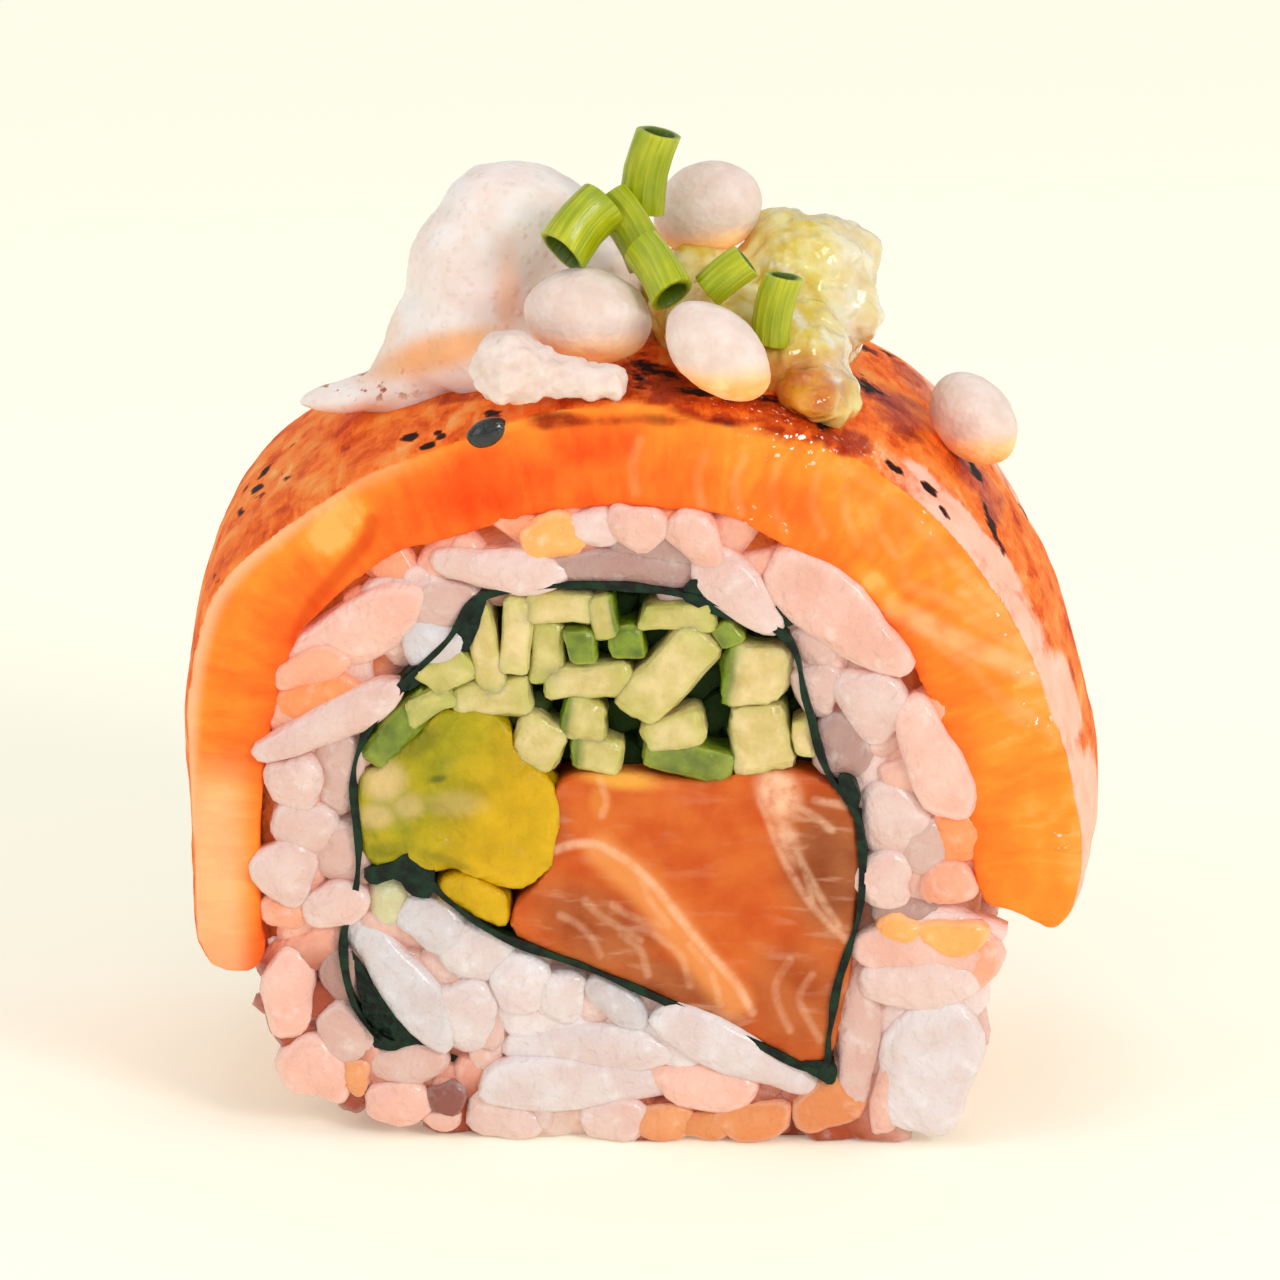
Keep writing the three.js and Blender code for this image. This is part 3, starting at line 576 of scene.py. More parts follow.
def slice_material():
    """Salmon slice, torched and glazed outside: bright orange flesh, pale fat, brown glaze and char."""
    material, tree, surface = new_material("seared_salmon")
    place = add(tree, "Attribute", {"attribute_name": "flesh"}, output="Vector")
    masks = {
        name: add(tree, "Attribute", {"attribute_name": name}, output="Fac")
        for name in ("tone", "fat", "cream", "crease_shade", "outer", "pink", "glaze", "char", "glint")
    }
    long_streaks = add(tree, "Mapping", inputs={"Vector": place, "Scale": (0.85, 1.0, 0.4)})
    cross_fibres = add(tree, "Mapping", inputs={"Vector": place, "Scale": (1.0, 0.25, 0.4)})
    cloud = patches(tree, 3.0, detail=3, low=0.3, high=0.7)
    fibre = add(tree, "TexNoise", inputs={"Vector": cross_fibres, "Scale": 1 / 1.1, "Detail": 4.0, "Distortion": 0.6})
    tone = swing(tree, swing(tree, masks["tone"], fibre, 0.6), cloud, 0.22)
    colour = add(tree, "ValToRGB", inputs={0: tone}, stops=[
        (0.0, "#F04A12"), (0.2, "#F9601E"), (0.5, "#FF7C28"), (0.78, "#FF9632"), (1.0, "#FFB45E"),
    ])
    fat = thinned(tree, masks["fat"], patches(tree, 3.0, detail=3, low=0.3, high=0.7), 0.3)
    colour = add(tree, "Mix", BLEND, {0: fat, 6: colour, 7: "#FFCB98"}, 2)
    colour = add(tree, "Mix", BLEND, {0: masks["cream"], 6: colour, 7: "#FFC49C"}, 2)
    # A darker red-orange line along the fold at the left: painted shade of the fold.
    colour = add(tree, "Mix", BLEND, {0: masks["crease_shade"], 6: colour, 7: "#D2400A"}, 2)
    streak = add(tree, "TexNoise", inputs={
        "Vector": long_streaks, "Scale": 1 / 1.6, "Detail": 6.0, "Roughness": 0.66, "Distortion": 0.3,
    })
    seared = add(tree, "ValToRGB", inputs={0: streak}, stops=[
        (0.28, "#A82804"), (0.38, "#E2500E"), (0.5, "#FF7A2A"), (0.62, "#FF9A4A"), (0.76, "#FFC084"),
    ])
    colour = add(tree, "Mix", BLEND, {0: masks["outer"], 6: colour, 7: seared}, 2)
    # The pale band: skin colour with a painted highlight where light from the right grazes the outer side.
    skin = add(tree, "Mix", BLEND, {0: streak, 6: "#FF9E70", 7: "#FFE2D4"}, 2)
    banded = add(tree, "Math", PLUS, {0: masks["pink"], 1: streak})
    banded = add(tree, "MapRange", SOFT, {"Value": banded, 1: 0.72, 2: 1.15})
    colour = add(tree, "Mix", BLEND, {0: banded, 6: colour, 7: skin}, 2)
    glazed = add(tree, "ValToRGB", inputs={0: streak}, stops=[(0.34, "#7A1A00"), (0.48, "#B43606"), (0.62, "#EC6818")])
    pool = swing(tree, masks["glaze"], cloud, 0.3)
    pool = add(tree, "MapRange", SOFT, {"Value": pool, 1: 0.2, 2: 0.75})
    colour = add(tree, "Mix", BLEND, {0: pool, 6: colour, 7: glazed}, 2)
    ragged = add(tree, "Math", LESS, {0: patches(tree, 0.7, detail=4, low=0.2, high=0.8), 1: 0.5})
    burn = add(tree, "Math", TIMES, {0: ragged, 1: 0.9})
    near_char = add(tree, "Math", {"operation": "GREATER_THAN"}, {0: masks["char"], 1: 0.02})
    burn = add(tree, "Math", TIMES, {0: burn, 1: near_char})
    burn = add(tree, "Math", PLUS, {0: masks["char"], 1: burn})
    scorched = add(tree, "MapRange", SOFT, {"Value": burn, 1: 0.12, 2: 0.42, 4: 0.95})
    colour = add(tree, "Mix", BLEND, {0: scorched, 6: colour, 7: "#7E1802"}, 2)
    charred = add(tree, "MapRange", SOFT, {"Value": burn, 1: 0.52, 2: 0.6})
    colour = add(tree, "Mix", BLEND, {0: charred, 6: colour, 7: "#200A03"}, 2)
    # White specks where the glint mask lies: painted highlights.
    painted_glints = patches(tree, 0.4, detail=2, low=0.64, high=0.7)
    painted_glints = add(tree, "MapRange", SOFT, {"Value": painted_glints, 1: 0.3, 2: 0.6})
    painted_glints = add(tree, "Math", TIMES, {0: painted_glints, 1: masks["glint"]})
    colour = add(tree, "Mix", BLEND, {0: painted_glints, 6: colour, 7: "#FFF6EE"}, 2)
    wet = add(tree, "Math", TIMES, {0: pool, 1: 0.2})
    wet = add(tree, "Math", TIMES, {0: wet, 1: add(tree, "Math", LESS, {0: 1.0, 1: charred})})
    dull = add(tree, "MapRange", inputs={"Value": masks["outer"], 1: 0.0, 2: 1.0, 3: 0.36, 4: 0.62})
    height = add(tree, "Math", PLUS, {0: fibre, 1: add(tree, "Math", TIMES, {0: streak, 1: masks["outer"]})})
    connect(tree, surface, {
        "Base Color": colour, "Roughness": dull, "IOR": 1.36, "Specular IOR Level": 0.14, "Subsurface Weight": 0.15,
        "Subsurface Scale": 0.001, "Subsurface Radius": (1.0, 0.3, 0.1), "Coat Weight": wet, "Coat Roughness": 0.06,
        "Coat IOR": 1.3, "Normal": add(tree, "Bump", inputs={"Height": height, "Distance": 0.00012}),
    })
    return material


def strip_material():
    """Raw salmon in the filling: moist brownish orange with white fat lines between its flakes."""
    material, tree, surface = new_material("raw_salmon")
    masks = {
        name: add(tree, "Attribute", {"attribute_name": name}, output="Fac")
        for name in ("brown", "yellow", "glow", "fat")
    }
    cloud = patches(tree, 3.2, detail=4, low=0.3, high=0.7)
    colour = add(tree, "Mix", BLEND, {0: cloud, 6: "#CC5216", 7: "#DC6E2A"}, 2)
    brown = add(tree, "Mix", BLEND, {0: cloud, 6: "#863F1A", 7: "#A8623A"}, 2)
    colour = add(tree, "Mix", BLEND, {0: masks["brown"], 6: colour, 7: brown}, 2)
    flake = add(tree, "Mapping", inputs={
        "Vector": add(tree, "TexCoord", output="Object"), "Rotation": (0, math.radians(35), 0),
        "Scale": (0.25, 0.4, 1.0),
    })
    threads = add(tree, "TexNoise", inputs={"Vector": flake, "Scale": 1000 / 0.8, "Detail": 3.0, "Distortion": 0.5})
    threads = add(tree, "MapRange", SOFT, {"Value": threads, 1: 0.5, 2: 0.72})
    share = add(tree, "Math", PLUS, {0: 0.1, 1: add(tree, "Math", TIMES, {0: masks["brown"], 1: 0.35})})
    threads = add(tree, "Math", TIMES, {0: threads, 1: share})
    colour = add(tree, "Mix", BLEND, {0: threads, 6: colour, 7: "#EDBC9C"}, 2)
    colour = add(tree, "Mix", BLEND, {0: masks["yellow"], 6: colour, 7: "#F6B048"}, 2)
    colour = add(tree, "Mix", BLEND, {0: masks["glow"], 6: colour, 7: "#F09A54"}, 2)
    fat = thinned(tree, masks["fat"], patches(tree, 0.8, detail=4, low=0.25, high=0.65), 0.4)
    colour = add(tree, "Mix", BLEND, {0: fat, 6: colour, 7: "#FCCBA6"}, 2)
    fibres = patches(tree, 0.7, detail=3, low=0.2, high=0.8)
    connect(tree, surface, {
        "Base Color": colour, "Roughness": 0.34, "IOR": 1.36, "Specular IOR Level": 0.22, "Subsurface Weight": 0.2,
        "Subsurface Scale": 0.001, "Subsurface Radius": (1.0, 0.3, 0.12), "Coat Weight": 0.12, "Coat Roughness": 0.12,
        "Normal": add(tree, "Bump", inputs={"Height": fibres, "Distance": 0.00007}),
    })
    return material


def nori_material():
    """Nori: pressed seaweed, nearly black green, moist, with a fine uneven weave of fronds."""
    material, tree, surface = new_material("nori")
    fronds = patches(tree, 0.8, detail=5, low=0.35, high=0.65)
    colour = add(tree, "Mix", BLEND, {0: fronds, 6: "#020C07", 7: "#0C2E1A"}, 2)
    connect(tree, surface, {
        "Base Color": colour, "Roughness": 0.45, "Specular IOR Level": 0.2, "Coat Weight": 0.12, "Coat Roughness": 0.15,
        "Normal": add(tree, "Bump", inputs={"Height": fronds, "Distance": 0.00012}),
    })
    return material


def cucumber_material():
    """Fresh cut cucumber: watery pale flesh that turns green towards the dark skin."""
    material, tree, surface = new_material("cucumber")
    masks = {
        name: add(tree, "Attribute", {"attribute_name": name}, output="Fac")
        for name in ("green", "skin", "side", "depth", "rim")
    }
    cloud = patches(tree, 1.5, detail=4, low=0.25, high=0.75)
    flesh = add(tree, "Mix", BLEND, {0: cloud, 6: "#DCC07A", 7: "#F4DAA8"}, 2)
    green = add(tree, "Mix", BLEND, {0: cloud, 6: "#8E9C18", 7: "#BCBE44"}, 2)
    colour = add(tree, "Mix", BLEND, {0: masks["green"], 6: flesh, 7: green}, 2)
    skin = add(tree, "Mix", BLEND, {0: cloud, 6: "#345004", 7: "#7A9614"}, 2)
    colour = add(tree, "Mix", BLEND, {0: masks["skin"], 6: colour, 7: skin}, 2)
    # Greener, then nearly black, on faces behind the cut face: painted shade in the gaps between the sticks.
    colour = add(tree, "Mix", BLEND, {0: masks["side"], 6: colour, 7: "#5E7C0A"}, 2)
    colour = add(tree, "Mix", BLEND, {0: masks["depth"], 6: colour, 7: "#14300A"}, 2)
    colour = add(tree, "Mix", BLEND, {0: masks["rim"], 6: colour, 7: "#B4BC48"}, 2)
    wet = patches(tree, 0.6, detail=3, low=0.2, high=0.8)
    gloss = add(tree, "MapRange", SOFT, {"Value": masks["depth"], 1: 0.0, 2: 0.5, 3: 0.4, 4: 0.0})
    rough = add(tree, "MapRange", SOFT, {"Value": masks["depth"], 1: 0.0, 2: 0.5, 3: 0.22, 4: 0.8})
    connect(tree, surface, {
        "Base Color": colour, "Roughness": rough, "IOR": 1.36, "Subsurface Weight": 0.35, "Subsurface Scale": 0.001,
        "Subsurface Radius": (0.9, 1.0, 0.35), "Coat Weight": gloss, "Coat Roughness": 0.08,
        "Normal": add(tree, "Bump", inputs={"Height": wet, "Distance": 0.0001}),
    })
    return material


def avocado_material():
    """Ripe avocado: buttery flesh, green at the outside and yellow inside."""
    material, tree, surface = new_material("avocado")
    masks = {
        name: add(tree, "Attribute", {"attribute_name": name}, output="Fac")
        for name in ("yellow", "pale", "bruise")
    }
    cloud = patches(tree, 2.4, detail=4, low=0.3, high=0.7)
    green = add(tree, "Mix", BLEND, {0: cloud, 6: "#8E8C06", 7: "#BEAA18"}, 2)
    yellow = add(tree, "Mix", BLEND, {0: cloud, 6: "#CCA206", 7: "#E2B414"}, 2)
    colour = add(tree, "Mix", BLEND, {0: masks["yellow"], 6: green, 7: yellow}, 2)
    colour = add(tree, "Mix", BLEND, {0: masks["pale"], 6: colour, 7: "#E4C488"}, 2)
    colour = add(tree, "Mix", BLEND, {0: masks["bruise"], 6: colour, 7: "#565E0C"}, 2)
    smear = patches(tree, 0.9, detail=4, low=0.2, high=0.8)
    connect(tree, surface, {
        "Base Color": colour, "Roughness": 0.34, "IOR": 1.4, "Specular IOR Level": 0.25, "Subsurface Weight": 0.3,
        "Subsurface Scale": 0.001, "Subsurface Radius": (1.0, 0.85, 0.2), "Coat Weight": 0.12, "Coat Roughness": 0.12,
        "Normal": add(tree, "Bump", inputs={"Height": smear, "Distance": 0.00018}),
    })
    return material


def sauce_material():
    """Whipped white sauce: thick foam, pinkish white, with tiny bubbles."""
    material, tree, surface = new_material("white_sauce")
    warm = add(tree, "Attribute", {"attribute_name": "warm"}, output="Fac")
    fleck = add(tree, "Attribute", {"attribute_name": "fleck"}, output="Fac")
    cloud = patches(tree, 2.5, detail=3, low=0.3, high=0.7)
    colour = add(tree, "Mix", BLEND, {0: cloud, 6: "#F2E0D8", 7: "#FCF0EC"}, 2)
    colour = add(tree, "Mix", BLEND, {0: warm, 6: colour, 7: "#FFB068"}, 2)
    flecks = add(tree, "Math", TIMES, {0: patches(tree, 0.7, detail=3, low=0.6, high=0.68), 1: fleck})
    colour = add(tree, "Mix", BLEND, {0: flecks, 6: colour, 7: "#B4602E"}, 2)
    place = add(tree, "TexCoord", output="Object")
    bubbles = add(tree, "TexVoronoi", inputs={"Vector": place, "Scale": 1000 / 0.6, "Randomness": 1.0})
    pores = add(tree, "MapRange", SOFT, {"Value": bubbles, 1: 0.1, 2: 0.45, 3: 0.1, 4: 0.0})
    colour = add(tree, "Mix", BLEND, {0: pores, 6: colour, 7: "#D9B4A6"}, 2)
    connect(tree, surface, {
        "Base Color": colour, "Roughness": 0.38, "IOR": 1.4, "Subsurface Weight": 0.5, "Subsurface Scale": 0.0016,
        "Subsurface Radius": (1.0, 0.7, 0.55), "Coat Weight": 0.15, "Coat Roughness": 0.2,
        "Normal": add(tree, "Bump", inputs={"Height": pores, "Distance": 0.0005}),
    })
    return material


def relish_material():
    """Fruit relish: wet translucent pulp, yellow-green, with pale lumps and an amber foot."""
    material, tree, surface = new_material("fruit_relish")
    pale = add(tree, "Attribute", {"attribute_name": "pale"}, output="Fac")
    amber = add(tree, "Attribute", {"attribute_name": "amber"}, output="Fac")
    cloud = patches(tree, 1.8, detail=4, low=0.35, high=0.65)
    colour = add(tree, "Mix", BLEND, {0: cloud, 6: "#E6C83C", 7: "#F8E89C"}, 2)
    lump = add(tree, "Mix", BLEND, {0: cloud, 6: "#F2DCA4", 7: "#FCF0D4"}, 2)
    colour = add(tree, "Mix", BLEND, {0: pale, 6: colour, 7: lump}, 2)
    foot = add(tree, "Mix", BLEND, {0: cloud, 6: "#D06A08", 7: "#F0A028"}, 2)
    colour = add(tree, "Mix", BLEND, {0: amber, 6: colour, 7: foot}, 2)
    glint = add(tree, "Attribute", {"attribute_name": "glint"}, output="Fac")
    # White streaks along the glint strokes: painted highlights.
    painted_glint_streaks = add(tree, "Math", TIMES, {0: glint, 1: patches(tree, 1.2, detail=3, low=0.35, high=0.6)})
    colour = add(tree, "Mix", BLEND, {0: painted_glint_streaks, 6: colour, 7: "#FFF8E8"}, 2)
    strands = patches(tree, 2.0, detail=1, low=0.25, high=0.75, distortion=0.8)
    connect(tree, surface, {
        "Base Color": colour, "Roughness": 0.12, "IOR": 1.34, "Transmission Weight": 0.12,
        "Subsurface Weight": 0.5, "Subsurface Scale": 0.0022,
        "Subsurface Radius": (1.0, 0.85, 0.3), "Coat Weight": 0.9, "Coat Roughness": 0.03,
        "Normal": add(tree, "Bump", inputs={"Height": strands, "Distance": 0.0003}),
    })
    return material


def puff_material():
    """Puffed rice: matt, crisp and finely pitted, with orange sauce on its underside that glows: painted light."""
    material, tree, surface = new_material("puffed_rice")
    sauced = add(tree, "Attribute", {"attribute_name": "sauced"}, output="Fac")
    cloud = patches(tree, 1.5, detail=4, low=0.3, high=0.7)
    colour = add(tree, "Mix", BLEND, {0: cloud, 6: "#E6CEC2", 7: "#F0DED6"}, 2)
    orange = add(tree, "Mix", BLEND, {0: cloud, 6: "#FFAC5A", 7: "#FFCC94"}, 2)
    edge = add(tree, "MapRange", SOFT, {"Value": swing(tree, sauced, cloud, 0.25), 1: 0.1, 2: 0.9})
    colour = add(tree, "Mix", BLEND, {0: edge, 6: colour, 7: orange}, 2)
    pits = add(tree, "TexVoronoi", inputs={"Vector": add(tree, "TexCoord", output="Object"), "Scale": 1000 / 0.45})
    connect(tree, surface, {
        "Base Color": colour, "Roughness": 0.45, "IOR": 1.4, "Subsurface Weight": 0.45, "Subsurface Scale": 0.0012,
        "Subsurface Radius": (1.0, 0.62, 0.45),
        "Normal": add(tree, "Bump", inputs={"Height": pits, "Distance": 0.00006}),
        # The sauced underside glows: painted light that lifts its shade.
        "Emission Color": colour, "Emission Strength": add(tree, "Math", TIMES, {0: edge, 1: 0.22}),
    })
    return material


def chive_material():
    """Fresh chive: waxy bright green with fine ribs along the stalk, and darker inside the hollow, which is painted
    shade.
    """
    material, tree, surface = new_material("chive")
    around = add(tree, "Attribute", {"attribute_name": "round"}, output="Vector")
    inner = add(tree, "Attribute", {"attribute_name": "inner"}, output="Fac")
    ribs = add(tree, "TexNoise", inputs={"Vector": around, "Scale": 1.6, "Detail": 3.0})
    ribs = add(tree, "MapRange", SOFT, {"Value": ribs, 1: 0.3, 2: 0.7})
    cloud = patches(tree, 2.4, detail=3, low=0.3, high=0.7)
    body = add(tree, "Mix", BLEND, {0: ribs, 6: "#8C9C06", 7: "#AAB810"}, 2)
    bright = add(tree, "Mix", BLEND, {0: ribs, 6: "#A8B00C", 7: "#CACA26"}, 2)
    colour = add(tree, "Mix", BLEND, {0: cloud, 6: body, 7: bright}, 2)
    # Darker on the inner wall: painted shade inside the hollow stalk.
    colour = add(tree, "Mix", BLEND, {0: inner, 6: colour, 7: "#566C04"}, 2)
    connect(tree, surface, {
        "Base Color": colour, "Roughness": 0.28, "IOR": 1.4, "Subsurface Weight": 0.25, "Subsurface Scale": 0.0008,
        "Subsurface Radius": (0.8, 1.0, 0.2), "Coat Weight": 0.25, "Coat Roughness": 0.1,
        "Normal": add(tree, "Bump", inputs={"Height": ribs, "Distance": 0.00005}),
    })
    return material


def sesame_material():
    """Black sesame: a hard glossy hull."""
    material, tree, surface = new_material("black_sesame")
    cloud = patches(tree, 0.5, detail=3)
    connect(tree, surface, {
        "Base Color": add(tree, "Mix", BLEND, {0: cloud, 6: "#070B0C", 7: "#161E1C"}, 2), "Roughness": 0.16,
        "Specular IOR Level": 0.4, "Coat Weight": 0.6, "Coat Roughness": 0.04,
        "Normal": add(tree, "Bump", inputs={"Height": cloud, "Distance": 0.00004}),
    })
    return material


# The rice

def on_front(column, row):
    """Where the camera sees a point of the front cut face: its x and z."""
    eye, focal, right, up, back = camera_axes()
    ray = right * (column - PICTURE / 2) / focal + up * (PICTURE / 2 - row) / focal - back
    reach = (-HALF_DEPTH - eye.y) / ray.y
    return eye.x + ray.x * reach, eye.z + ray.z * reach


def grain_models(segments, rings):
    """Four cooked grains, 2 long, wide and thick: blunt, flat-faced, a little bent and uneven."""
    models = []
    for bend, skew, first, second in (
        (0.10, 0.06, 0.4, 2.0), (-0.08, -0.08, 1.9, 0.3), (0.16, 0.1, 3.1, 4.4), (-0.14, 0.03, 5.0, 1.2),
    ):
        deselect()
        bpy.ops.mesh.primitive_uv_sphere_add(
            segments=segments, ring_count=rings, radius=1.0, rotation=(0, math.pi / 2, 0))
        model = bpy.context.object
        bpy.ops.object.transform_apply(rotation=True)
        p = points_of(model)
        rim = np.hypot(p[:, 0], p[:, 2])
        p = np.sign(p) * np.abs(p) ** np.array([0.9, 0.48, 0.9])
        around = np.arctan2(p[:, 2], p[:, 0])
        reach = 1 + 0.07 * np.sin(3 * around + first) + 0.05 * np.sin(5 * around + second)
        reach += skew * np.sin(p[:, 0] * 3)
        p = np.stack([p[:, 0] * (0.5 + reach / 2), p[:, 1], p[:, 2] * reach + bend * (0.4 - p[:, 0] ** 2)], axis=1)
        move_points(model, p)
        store(model, "rim", rim)
        models.append(model)
    return models


def inside(outline, x, z):
    """Whether a point lies inside a closed outline."""
    hit = False
    for (ax, az), (bx, bz) in zip(outline, np.roll(outline, -1, axis=0)):
        if (az > z) != (bz > z) and x < (bx - ax) * (z - az) / (bz - az) + ax:
            hit = not hit
    return hit


def gap_shade_and_sauce(points, inner):
    """The colour of gaps and sunken grain sides at each point: painted shade, painted orange reflection of the fish
    over it, rusty where sauce has seeped in near the foot, and pale inside.
    """
    far = np.full(len(points), 1e9)
    for x, z in inner:
        far = np.minimum(far, np.hypot(points[:, 0] - x, points[:, 2] - z))
    fish = (1 - rise(far, 0.8, 3.0)) * rise(points[:, 2], 9, 15)
    low = (1 - rise(points[:, 0], -17.5, -15.0)) * (1 - rise(points[:, 2], 10, 13))
    low = np.maximum(1 - rise(points[:, 2], 2.2, 5.0), low)
    clean = blots(seen(points), [
        (570, 1010, 330, 130, -12, 1.0), (930, 1060, 150, 190, 0, 1.0), (562, 1126, 80, 70, 0, 1.2),
    ])
    colour = np.tile(linear("#F4B49C")[:3], (len(points), 1))
    for share, tone in ((fish, "#F48848"), (low * (1 - clean), "#A23C08"), (clean, "#E8CCC0")):
        colour = colour * (1 - share[:, None]) + np.array(linear(tone)[:3]) * share[:, None]
    return colour


def make_rice():
    """The front grains as they lie, grains in no order elsewhere, and the pressed rice behind them."""
    rng = random.Random(41)
    models, small = grain_models(20, 12), grain_models(10, 7)
    slice_line = even_points(SLICE, 60)
    inner = slice_line[:, :2] - normals_of(slice_line) * slice_line[:, 2:3] / 2
    outer_edge = np.concatenate([inner, even_points(RICE_UNDERSIDE, 40)[::-1]])
    nori_line = even_points(NORI, 200)
    filling = even_points(NORI[:FILLING_END + 1], 120)[:, :2]
    pocket = even_points([on_front(*q) for q in NORI_FOLDS[0][0]], 40, closed=True)
    grains = []

    def lay(kinds, x, y, z, length, width, thick, turn, tint, lean=0.0, roll=0.0, sunk=0.0):
        piece = bpy.data.objects.new("grain", rng.choice(kinds).data.copy())
        bpy.context.scene.collection.objects.link(piece)
        place = Matrix.Translation((x, y, z)) @ Matrix.Rotation(math.radians(-turn), 4, "Y")
        place = place @ Matrix.Rotation(math.radians(lean), 4, "Z") @ Matrix.Rotation(math.radians(roll), 4, "X")
        flip = rng.choice([-1, 1])
        piece.data.transform(place @ Matrix.Diagonal((length / 2, flip * thick / 2, flip * width / 2, 1)))
        p = points_of(piece)
        own = np.array(linear(TINTS[tint])[:3]) * rng.uniform(0.95, 1.03)
        # Towards each grain's back the gap colour takes over: painted shade where the grain turns into the gaps.
        front = 0.7 * rise(p[:, 1], y - thick * 0.32, y + thick * 0.1) * (1 - rise(p[:, 1], -6.0, -3.0))
        share = np.maximum(sunk, front)[:, None]
        store(piece, "tint", own * (1 - share) + gap_shade_and_sauce(p, inner) * share)
        grains.append(piece)

    for column, row, length, width, turn, forward, tint in FRONT_GRAINS:
        x, z = on_front(column, row)
        long = length / PIXELS_PER_MM * GRAIN_LONGER
        wide = width / PIXELS_PER_MM * GRAIN_WIDER
        y = -HALF_DEPTH + 0.05 - 0.24 * forward + GRAIN_THICKNESS / 2 + rng.uniform(-0.12, 0.12)
        lay(models, x, y, max(z, wide * 0.42), long, wide, GRAIN_THICKNESS, turn, tint,
            rng.uniform(-5, 5), rng.uniform(-8, 8))

    # Between them, a little deeper, and the back face
    for face in (-1, 1):
        z = 0.9
        while z < 40:
            x = -23.0
            while x < 22.0:
                gx, gz = x + rng.uniform(-0.6, 0.6), z + rng.uniform(-0.6, 0.6)
                x += 2.8
                if not inside(outer_edge, gx, gz) or inside(filling, gx, gz) or inside(pocket, gx, gz):
                    continue
                if np.min(np.hypot(nori_line[:, 0] - gx, nori_line[:, 1] - gz)) < 1.1:
                    continue
                fish = np.min(np.hypot(inner[:, 0] - gx, inner[:, 1] - gz))
                if fish < 0.8:
                    continue
                if gz < 3:
                    kinds = ["peach", "tan", "shade"]
                elif fish < 3 and gz > 12:
                    kinds = ["blush", "peach"]
                else:
                    kinds = ["pink", "white", "shade"]
                tint = rng.choice(kinds)
                wide = GRAIN_WIDTH * rng.uniform(0.85, 1.1)
                if face < 0:
                    y = -HALF_DEPTH + 0.35 + wide * 0.4 + rng.uniform(-0.05, 0.2)
                    # Deeper front fillers take the gap colour: some of it as painted shade, nearly all at the foot and
                    # lower left, where sauce has seeped in.
                    sunk = 0.95 if gz < 4.5 or gx < -15.5 and gz < 12 else 0.3
                else:
                    y, sunk = HALF_DEPTH - 0.95 + rng.uniform(-0.3, 0.25), 0.0
                lay(small, gx, y, max(gz, 1.3), GRAIN_LENGTH * rng.uniform(0.65, 1.1), wide, wide * 0.8,
                    rng.uniform(0, 180), tint, rng.uniform(-14, 14), rng.uniform(-14, 14), sunk)
            z += 2.5

    # The outside: up the left to the slice's end, along the underside, and up the right
    edge = even_points(RICE_UNDERSIDE, 24)
    way = normals_of(edge)
    for i in range(len(edge)):
        for k in range(8):
            y = -9.4 + k * 2.9 + rng.uniform(-0.8, 0.8)
            grow = 1 + BELLY * (1 - (y / HALF_DEPTH) ** 2)
            x = BELLY_CENTRE[0] + (edge[i][0] - BELLY_CENTRE[0]) * grow + way[i][0] * 0.7
            z = BELLY_CENTRE[1] + (edge[i][1] - BELLY_CENTRE[1]) * grow + way[i][1] * 0.7
            wide = GRAIN_WIDTH * rng.uniform(0.85, 1.1)
            slope = math.degrees(math.atan2(-way[i][0], way[i][1]))
            browned = z < 2.5 and x < 10
            tint = rng.choice(["tan", "blush", "shade"] if browned else ["pink", "blush", "white", "shade"])
            lay(small, x, y, max(z, wide * 0.5), GRAIN_LENGTH * rng.uniform(0.75, 1.1), wide, wide * 0.85,
                slope, tint, rng.uniform(-90, 90))
    for model in models + small:
        bpy.data.objects.remove(model)

    core = run_through("pressed_rice", outer_edge, -HALF_DEPTH + 1.5, HALF_DEPTH - 1.2, 8)
    carve(core, run_through("filling_space", filling, -20, 20, 4))
    carve(core, egg(*NORI_POCKET))
    p = points_of(core)
    # The pressed rice takes the gap colour a fifth darker: painted shade in the hollows between grains.
    store(core, "tint", gap_shade_and_sauce(p, inner) * 0.8)
    store(core, "rim", np.zeros(len(p)))
    rice = fuse("rice", grains + [core])
    roughen(rice, 1.8, 0.5)
    roughen(rice, 0.8, 0.1)
    p = points_of(rice)
    p[:, 2] = np.maximum(p[:, 2], 0.0)
    move_points(rice, p)
    finish(rice, "rice", rice_material(), "sushi_rice")


# The nori

def make_nori():
    line = even_points(NORI, 260)
    k = np.arange(len(line))
    uneven = NORI_THICKNESS + 0.10 * np.sin(k * 0.37) + 0.06 * np.sin(k * 0.91 + 1)
    piece = run_through("nori", band(line, uneven), -HALF_DEPTH - 0.3, HALF_DEPTH, 26)
    p = points_of(piece)
    tail = (1 - rise(p[:, 2], 5.6, 6.4)) * (1 - rise(p[:, 0], 4.6, 6.0))
    p[:, 1] = p[:, 1] * (1 - tail) + np.maximum(p[:, 1], -11.6) * tail
    move_points(piece, p)
    roughen(piece, 2.5, 0.12)
    parts = [piece]
    for outline, front in NORI_FOLDS:
        outline = even_points([on_front(*q) for q in outline], 24, closed=True)
        fold = run_through("fold", outline, front, -2.0, 3)
        roughen(fold, 1.2, 0.3)
        parts.append(fold)
    piece = fuse("nori", parts)
    finish(piece, "nori", nori_material(), "nori_sheet", angle=50)


# The salmon slice

